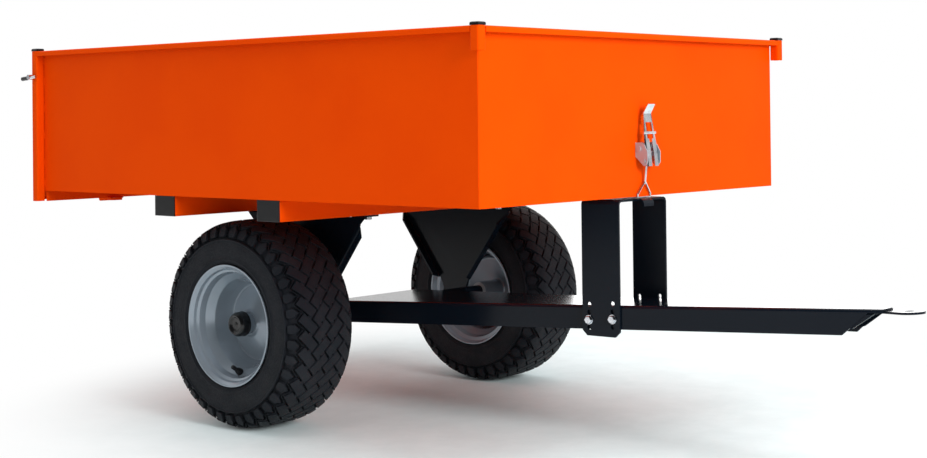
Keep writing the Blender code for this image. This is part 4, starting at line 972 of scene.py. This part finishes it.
    def build_tread(self) -> Object:
        """Wrap the blocks of every pitch round the carcass.

        Returns:
            The tread blocks.
        """
        bm = bmesh.new()
        for outline, drop in self.block_outlines():
            rings = []
            for height, shrink in ((-self.knob_depth - self.block_foot, -0.0004),
                                   (-0.0007 - drop, 0.0), (-drop, 0.0006)):
                rings.append([bm.verts.new((u, v, height)) for u, v in inset(outline, shrink)])
            for low, high in zip(rings, rings[1:]):
                for i in range(len(low)):
                    j = (i + 1) % len(low)
                    bm.faces.new((low[i], low[j], high[j], high[i]))
            bm.faces.new(rings[-1])
            bm.faces.new(rings[0][::-1])
        for axis, step, reach in self.CUTS:
            for k in range(-int(reach / step), int(reach / step) + 1):
                place, way = Vector((0, 0, 0)), Vector((0, 0, 0))
                place[axis], way[axis] = (k + self.CUT_START) * step, 1.0
                bmesh.ops.bisect_plane(bm, geom=bm.verts[:] + bm.edges[:] + bm.faces[:],
                                       plane_co=place, plane_no=way)
        source = new_object("tread_pitch", bm)
        half = self.crown()
        line = [(*point, 0.0) for point in mirrored(half[1:]) + half]
        profile = curve_object("crown_profile", [line])
        tread = self.repeater.run(f"tread_{self.side.label}", source, self.repeater.tread_ring, {
            "Pitches": self.pitches, "Pitch": FULL_TURN * self.places.tyre_radius / self.pitches,
            "Profile": profile, "Material": self.palette.material[Slot.TYRE]}, self.matrix)
        bpy.data.objects.remove(profile)
        return tread

    def finish_piece(self, piece: Object, slot: Slot, node: str) -> None:
        """Paint a piece and let it stand for one of this wheel's nodes."""
        self.palette.dress(piece, slot)
        hand_over(piece, f"wheel_{self.side.label}", f"{node}_{self.side.label}")

    def build_tyre(self) -> None:
        """Join carcass and tread in one piece that stands for the model's tyre."""
        tyre = joined(f"treaded_tyre_{self.side.label}", [self.build_carcass(), self.build_tread()], 40.0)
        self.finish_piece(tyre, Slot.TYRE, "tyre")

    def build_rim(self) -> None:
        """Turn the pressed rim with its rolled edge, stepped well, dished disc and hub sleeve."""
        r, w, b, well = self.rim_radius, self.half_width, self.bead_radius, self.well_radius
        t, sleeve = self.rim_sheet, self.sleeve_radius
        back = [(r + 0.0004, w - 0.0002, 0.0009), (r, w - t, 0.0008), (r - 0.0050, w - 0.0140, 0.002),
                (b + 0.0056, w - 0.0162, 0.002), (b + t, w - 0.0292, 0.002),
                (well + t, w - 0.0425, 0.003)]
        inboard = [(r - t, 0.0004 - w, 0.0010), (r - 0.007, 0.012 - w, 0.001),
                   (b + 0.003, 0.014 - w, 0.0012), (b, 0.028 - w, 0.0012), (well, 0.040 - w, 0.003)]
        disc_back = [(well, w - 0.0475, 0.003), (0.0730, -0.0020, 0.004), (0.0235, 0.0185, 0.003)]
        hub = [(sleeve, 0.0160, 0.0008), (sleeve, -self.sleeve_in, 0.0008),
               (self.bore, -self.sleeve_in, 0.0005), (self.bore, self.sleeve_out, 0.0005),
               (sleeve, self.sleeve_out, 0.0010), (sleeve, 0.0262, 0.0010)]
        collar = [(0.0222, 0.0262, 0.0008), (0.0250, 0.0235, 0.0012), (0.0275, 0.0206, 0.0020)]
        ridge = [(0.0722, 0.0014, 0.0004), (0.0732, 0.0030, 0.0008), (0.0748, 0.0028, 0.0008),
                 (0.0756, 0.0016, 0.0006)]
        outboard = [(well, w - 0.0425, 0.0016), (b, w - 0.0285, 0.0010), (b + 0.0032, w - 0.0155, 0.0009),
                    (r - 0.0102, w - 0.0128, 0.0009), (r - 0.0085, w - 0.0062, 0.0009),
                    (r - t, w - 0.0004, 0.0008)]
        corners = back + mirrored(back) + inboard + disc_back + hub + collar + ridge + outboard
        rim = turned(f"pressed_rim_{self.side.label}", rounded(corners, 5), self.matrix, 120, 50.0)
        self.finish_piece(rim, Slot.RIM, "rim")

    def build_hub_cap(self) -> None:
        """Turn the hub cap: a rounded cup with a dished face and a small nub in its middle."""
        r, t, end = self.cap_radius, self.cap_wall, self.cap_end
        low = end - self.cap_length
        nub = [(0.0, end - 0.0048, 0), (0.0011, end - 0.0048, 0.0002), (0.0011, end - 0.0030, 0.0002),
               (0.0036, end - 0.0030, 0.0008), (0.0048, end - 0.0042, 0.0006)]
        dish = [(0.0122, end - 0.0040, 0.0026), (0.0152, end - 0.0006, 0.0016), (0.0186, end, 0.0030)]
        cup = [(r, end - 0.0066, 0.0042), (r, low + 0.003, 0.0005), (r + 0.0006, low + 0.0024, 0.0004),
               (r + 0.0006, low, 0.0004)]
        inside = [(r - t, low, 0.0004), (r - t, end - 0.0066, 0.001), (r - t - 0.003, end - 0.0056, 0.001),
                  (0.0, end - 0.0056, 0)]
        cap = turned(f"dished_hub_cap_{self.side.label}", rounded(nub + dish + cup + inside, 5),
                     self.matrix, 64, 60.0)
        self.finish_piece(cap, Slot.PLASTIC, "hub_cap")

    def build_valve(self) -> None:
        """Turn the snap-in valve with its thick rubber foot and cap, in the well's slope."""
        tilt = math.radians(self.valve_tilt)
        lean = Vector((0.0, self.side.value * math.sin(tilt), math.cos(tilt)))
        seat = Vector((0.0, self.side.value * (self.half_width - 0.03376), 0.006 - self.bead_radius))
        v = self.valve_radius
        cap = [(0.0, 0.0250, 0), (v - 0.0010, 0.0250, 0.0010), (v - 0.0006, 0.0165, 0.0005),
               (v - 0.0013, 0.0158, 0.0004)]
        foot = [(v - 0.0011, 0.0135, 0.0004), (v + 0.0012, 0.0095, 0.002), (v + 0.0024, 0.0030, 0.0016),
                (v + 0.0024, 0.0010, 0.0004), (v, 0.0008, 0.0003), (v, -0.0045, 0.001), (0.0, -0.0045, 0)]
        valve = turned(f"snap_valve_{self.side.label}", rounded(cap + foot, 3),
                       pointing(self.centre + seat, lean), 32, 50.0)
        self.finish_piece(valve, Slot.VALVE, "valve")

    def build(self) -> None:
        """Build every piece of the wheel."""
        self.build_tyre()
        self.build_rim()
        self.build_hub_cap()
        self.build_valve()


# Bolts

@dataclass(frozen=True)
class Bolt:
    """Hexagon bolt with washer, shank and nut, in place of one of the model's bolts."""

    node: str
    body: str
    frame: Matrix
    grip: float
    radius: float = 0.004
    corner: float = 0.0075
    head: float = 0.0053
    nut: float = 0.0065
    washer: float = 0.0012
    gap: float = 0.0002
    chamfer: float = 0.86

    def build(self, palette: Palette) -> None:
        """Build the bolt.

        Args:
            palette: The finishes.
        """
        r, c, w = self.radius, self.corner, self.washer
        top = w + self.head
        high = -self.grip - 2 * self.gap
        low = high - self.nut
        head = [(0.0, w + self.gap), (c * 0.94, w + self.gap), (c, w + 0.0007), (c, top - 0.0012),
                (c * self.chamfer, top), (0.0, top)]
        nut = [(r, low), (c * self.chamfer, low), (c, low + 0.0010), (c, high - 0.0010),
               (c * self.chamfer, high), (r, high)]
        washer = [(r, self.gap), (c * 1.14, self.gap), (c * 1.16, 0.0005), (c * 1.14, w), (r, w)]
        shank = [(0.0, 0.001), (r, 0.001), (r, low - 0.0008), (r - 0.0009, low - 0.0018),
                 (0.0, low - 0.0018)]
        parts = [turned("part", outline, self.frame, steps, sharp) for outline, steps, sharp in (
            (head, 6, 20.0), (nut, 6, 20.0), (washer, 32, 40.0), (shank, 20, 40.0))]
        bolt = joined(f"hex_{self.node}", parts)
        palette.dress(bolt, Slot.ZINC)
        hand_over(bolt, self.body, self.node)


@dataclass(frozen=True)
class BoltSet:
    """The bolts of the front support and of the axle brackets.

    A support bolt's grip starts head_reach inside the outermost place of the model's bolt. A
    bracket bolt's grip starts head_rise over the lowest place of the model's bolt and ends
    nut_reach under the highest.
    """

    leg_taper: float = math.radians(4.8)
    leg_grip: float = 0.0062
    head_reach: float = 0.0062
    head_rise: float = 0.0055
    nut_reach: float = 0.0089

    def build(self, palette: Palette) -> None:
        """Build all eight bolts.

        Args:
            palette: The finishes.
        """
        for side in Side:
            for end in ("rear", "front"):
                self.support_bolt(side, f"support_bolt_{end}_{side.label}").build(palette)
                self.bracket_bolt(f"bracket_bolt_{end}_{side.label}").build(palette)

    def support_bolt(self, side: Side, node: str) -> Bolt:
        """Bolt through a support leg and the drawbar's flange, square to the leg.

        Args:
            side: The leg's side.
            node: The model's bolt.

        Returns:
            The bolt.
        """
        low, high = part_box(node)
        middle = (low + high) / 2
        face = max(abs(low.y), abs(high.y)) - self.head_reach
        frame = outward(side, Vector((middle.x, side.value * face, middle.z)))
        return Bolt(node, "chassis", frame @ Matrix.Rotation(self.leg_taper, 4, "Y"), self.leg_grip)

    def bracket_bolt(self, node: str) -> Bolt:
        """Bolt up through a bracket's tab and a cross tube's wall.

        Args:
            node: The model's bolt.

        Returns:
            The bolt.
        """
        low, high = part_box(node)
        middle = (low + high) / 2
        place = Matrix.Translation((middle.x, middle.y, low.z + self.head_rise))
        grip = high.z - low.z - self.head_rise - self.nut_reach
        return Bolt(node, "box", place @ Matrix.Rotation(math.pi, 4, "X"), grip)


# Welds

@dataclass(frozen=True)
class Seam:
    """Weld beads along straight or round runs."""

    name: str
    body: str
    slot: Slot
    runs: Runs
    bead: float
    spacing: float
    seed: int

    def build(self, palette: Palette, repeater: Repeater) -> None:
        """Lay the beads.

        Args:
            palette: The finishes.
            repeater: The geometry-node trees.
        """
        line = curve_object(f"{self.name}_line", self.runs)
        beads = repeater.run(self.name, line, repeater.bead_row, {
            "Spacing": self.spacing, "Bead Radius": self.bead, "Seed": self.seed,
            "Material": palette.material[self.slot]})
        hand_over(beads, self.body)


@dataclass(frozen=True)
class WeldSet:
    """Every weld of the trailer that the looks show."""

    post_tacks: tuple[float, ...] = (0.7315, 0.6885, 0.6300, 0.5714, 0.5127, 0.4700)
    tack_half: float = 0.007
    post_gap: Pair = (0.0002, 0.0003)
    stitches: int = 8
    stitch_pitch: float = 0.12
    stitch_half: float = 0.014
    hinge_run: Pair = (0.030, 0.004)
    hinge_drop: float = 0.0032
    sleeve_radius: float = 0.0222
    sleeve_out: float = 0.0256
    sleeve_steps: int = 72

    def post_runs(self, side: Side) -> Runs:
        """Tack welds between a rear post and the side panel.

        Args:
            side: The post's side.

        Returns:
            The runs.
        """
        low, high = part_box(f"rear_post_{side.label}")
        x = high.x + self.post_gap[0]
        y = side.value * (min(abs(low.y), abs(high.y)) + self.post_gap[1])
        return [[(x, y, z - self.tack_half), (x, y, z + self.tack_half)] for z in self.post_tacks]

    def tube_runs(self, end: str) -> Runs:
        """Stitch welds between a cross tube and the floor.

        Args:
            end: Which tube.

        Returns:
            The runs.
        """
        low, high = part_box(f"cross_tube_{end}")
        middles = [(k - (self.stitches - 1) / 2) * self.stitch_pitch for k in range(self.stitches)]
        return [[(x, y - self.stitch_half, high.z), (x, y + self.stitch_half, high.z)]
                for x in (low.x, high.x) for y in middles]

    def hinge_runs(self, side: Side) -> Runs:
        """Welds along a hinge strap under the floor.

        Args:
            side: The strap's side.

        Returns:
            The runs.
        """
        low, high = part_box(f"hinge_strap_{side.label}")
        start, end = self.hinge_run
        z = high.z - self.hinge_drop
        return [[(high.x - start, y, z), (high.x - end, y, z)] for y in (low.y, high.y)]

    def sleeve_run(self, side: Side, centre: Vector) -> Runs:
        """Weld round a wheel's hub sleeve.

        Args:
            side: The wheel's side.
            centre: The wheel's middle.

        Returns:
            The run.
        """
        angles = (FULL_TURN * i / self.sleeve_steps for i in range(self.sleeve_steps + 1))
        return [[(centre.x + self.sleeve_radius * math.cos(angle),
                  centre.y + side.value * self.sleeve_out,
                  centre.z + self.sleeve_radius * math.sin(angle)) for angle in angles]]

    def build(self, palette: Palette, repeater: Repeater, places: Places) -> None:
        """Lay every weld.

        Args:
            palette: The finishes.
            repeater: The geometry-node trees.
            places: Places of the wheels.
        """
        seams = [Seam(f"tube_welds_{end}", "box", Slot.BOX, self.tube_runs(end), 0.0021, 0.0026, 3)
                 for end in ("rear", "front")]
        for side in Side:
            label, sleeve = side.label, self.sleeve_run(side, places.wheel(side))
            seams += [
                Seam(f"post_tacks_{label}", "box", Slot.BOX, self.post_runs(side), 0.0016, 0.0019, 5),
                Seam(f"hinge_welds_{label}", "box", Slot.BOX, self.hinge_runs(side), 0.0016, 0.0020, 7),
                Seam(f"sleeve_weld_{label}", f"wheel_{label}", Slot.RIM, sleeve, 0.0019, 0.0024, 9)]
        for seam in seams:
            seam.build(palette, repeater)


# Studio

@dataclass(frozen=True)
class Softbox:
    """A square area lamp that looks at a place."""

    name: str
    place: Point
    aim: Point
    size: float
    power: float
    in_mirrors: bool = False

    def build(self) -> None:
        """Add the lamp to the scene."""
        lamp = bpy.data.lights.new(self.name, "AREA")
        lamp.shape = "SQUARE"
        lamp.size = self.size
        lamp.energy = self.power
        obj = linked(self.name, lamp)
        turn = (Vector(self.aim) - Vector(self.place)).to_track_quat("-Z", "Y").to_matrix().to_4x4()
        obj.matrix_world = Matrix.Translation(self.place) @ turn
        obj.visible_glossy = self.in_mirrors
        obj.visible_camera = False


@dataclass(frozen=True)
class Studio:
    """Camera, pale floor, world and lamps. Angles are in degrees."""

    camera_place: Point = (2.057737, -2.406700, 0.609900)
    yaw: float = 41.59
    pitch: float = -0.641
    roll: float = -0.626
    focal_px: float = 1571.5
    horizon_px: float = 95.3
    width_px: float = 927.0
    height_px: float = 458.0
    world_fill: float = 0.56
    dark_side: float = 0.03
    white_side: Pair = (-0.20, 0.60)
    back_lift: float = 0.15
    floor_radius: float = 4.5
    # Cool tint of the floor: painted light, it cancels the orange light that the box bounces onto the floor.
    floor_tones: tuple[Colour, Colour] = ((0.76, 0.88, 0.89), (0.82, 0.94, 0.95))
    floor_roughness: float = 0.7
    floor_specular: float = 0.15
    fade: Pair = (0.82, 1.45)
    fade_centre: Point = (0.15, 0.35, 0.0)

    def build_camera(self) -> None:
        """Place the camera at the photograph's viewpoint."""
        data = bpy.data.cameras.new("camera")
        data.sensor_width = 36.0
        data.lens = self.focal_px * data.sensor_width / self.width_px
        data.shift_y = (self.horizon_px - self.height_px / 2) / self.width_px
        data.clip_start, data.clip_end = 0.05, 60.0
        yaw, pitch, roll = (math.radians(angle) for angle in (self.yaw, self.pitch, self.roll))
        level = Vector((-math.sin(yaw), math.cos(yaw), 0.0)) * math.cos(pitch)
        ahead = level - Vector((0.0, 0.0, math.sin(pitch)))
        right = Vector((math.cos(yaw), math.sin(yaw), 0.0))
        up = right.cross(ahead)
        tilted_right = right * math.cos(roll) + up * math.sin(roll)
        tilted_up = up * math.cos(roll) - right * math.sin(roll)
        turn = Matrix((tilted_right, tilted_up, -ahead)).transposed().to_4x4()
        camera = linked("camera", data)
        camera.matrix_world = Matrix.Translation(self.camera_place) @ turn
        bpy.context.scene.camera = camera

    def build_world(self) -> None:
        """White behind the trailer, dim towards the viewer in mirrors, and even fill light."""
        world = bpy.data.worlds.new("studio_world")
        world.use_nodes = True
        bpy.context.scene.world = world
        sheet = NodeSheet(world.node_tree)
        way = sheet.add("ShaderNodeTexCoord").outputs["Generated"]
        yaw = math.radians(self.yaw)
        back = sheet.add("ShaderNodeVectorMath", {0: way, 1: (-math.sin(yaw), math.cos(yaw), self.back_lift)},
                         operation="DOT_PRODUCT").outputs["Value"]
        camera, mirror = sheet.seen_rays()
        fill = sheet.switch(mirror, self.world_fill, sheet.ramp(back, *self.white_side, self.dark_side, 1.0))
        sheet.feed(world.node_tree.nodes["Background"], {
            "Strength": sheet.switch(camera, fill, 1.0), "Color": WHITE})

    def build_floor(self) -> None:
        """Pale floor that fades into the white background and keeps the shadow; its cool tint is painted
        light that cancels the orange light the box bounces onto it.
        """
        bm = bmesh.new()
        bmesh.ops.create_circle(bm, cap_ends=True, segments=64, radius=self.floor_radius)
        floor = new_object("studio_floor", bm)
        finish = Finish("studio_floor")
        sheet, place, nodes = finish.sheet, finish.place, finish.material.node_tree.nodes
        cloud = sheet.ramp(sheet.noise(place, 9.0, 6.0, 0.7), 0.3, 0.7)
        # Mixes the two cool floor tones; the cool tint is painted light against the box's orange bounce.
        low, high = (rgba(tone) for tone in self.floor_tones)
        finish.set(Base_Color=sheet.mix(cloud, low, high), Roughness=self.floor_roughness,
                   Specular_IOR_Level=self.floor_specular)
        glow = sheet.add("ShaderNodeEmission", {"Color": WHITE, "Strength": 1.0})
        away = sheet.add("ShaderNodeVectorMath", {0: place, 1: self.fade_centre},
                         operation="DISTANCE").outputs["Value"]
        seen = sheet.math("MAXIMUM", *sheet.seen_rays())
        share = sheet.math("MULTIPLY", seen, sheet.ramp(away, *self.fade))
        pick = sheet.add("ShaderNodeMixShader", {0: share, 1: nodes["Principled BSDF"].outputs[0],
                                                 2: glow.outputs[0]})
        sheet.feed(nodes["Material Output"], {"Surface": pick.outputs[0]})
        floor.data.materials.append(finish.material)

    def build(self) -> None:
        """Set up the whole studio."""
        self.build_camera()
        self.build_world()
        self.build_floor()
        for lamp in (Softbox("front_softbox", (4.2, -0.9, 1.9), (0.0, 0.0, 0.35), 1.8, 172.0),
                     Softbox("top_softbox", (0.1, 0.2, 3.4), (-0.1, 0.0, 0.0), 2.6, 60.0),
                     Softbox("side_softbox", (-1.0, -4.2, 1.6), (-0.3, 0.0, 0.3), 2.0, 14.0),
                     Softbox("back_softbox", (-1.25, 3.0, 0.75), (0.4, 0.0, 0.3), 1.5, 15.0, True)):
            lamp.build()
        bpy.context.scene.view_settings.view_transform = "Standard"


def main() -> None:
    """Load the model, build the studio and dress every piece."""
    logging.basicConfig(level=logging.INFO, format="%(name)s: %(message)s")
    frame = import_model()
    Studio().build()
    places = Places.measured()
    palette = Palette(places)
    palette.dress_model(frame)
    repeater = Repeater()
    for side in Side:
        Wheel(side, places, palette, repeater).build()
    BoltSet().build(palette)
    WeldSet().build(palette, repeater, places)


if __name__ == "__main__":
    main()
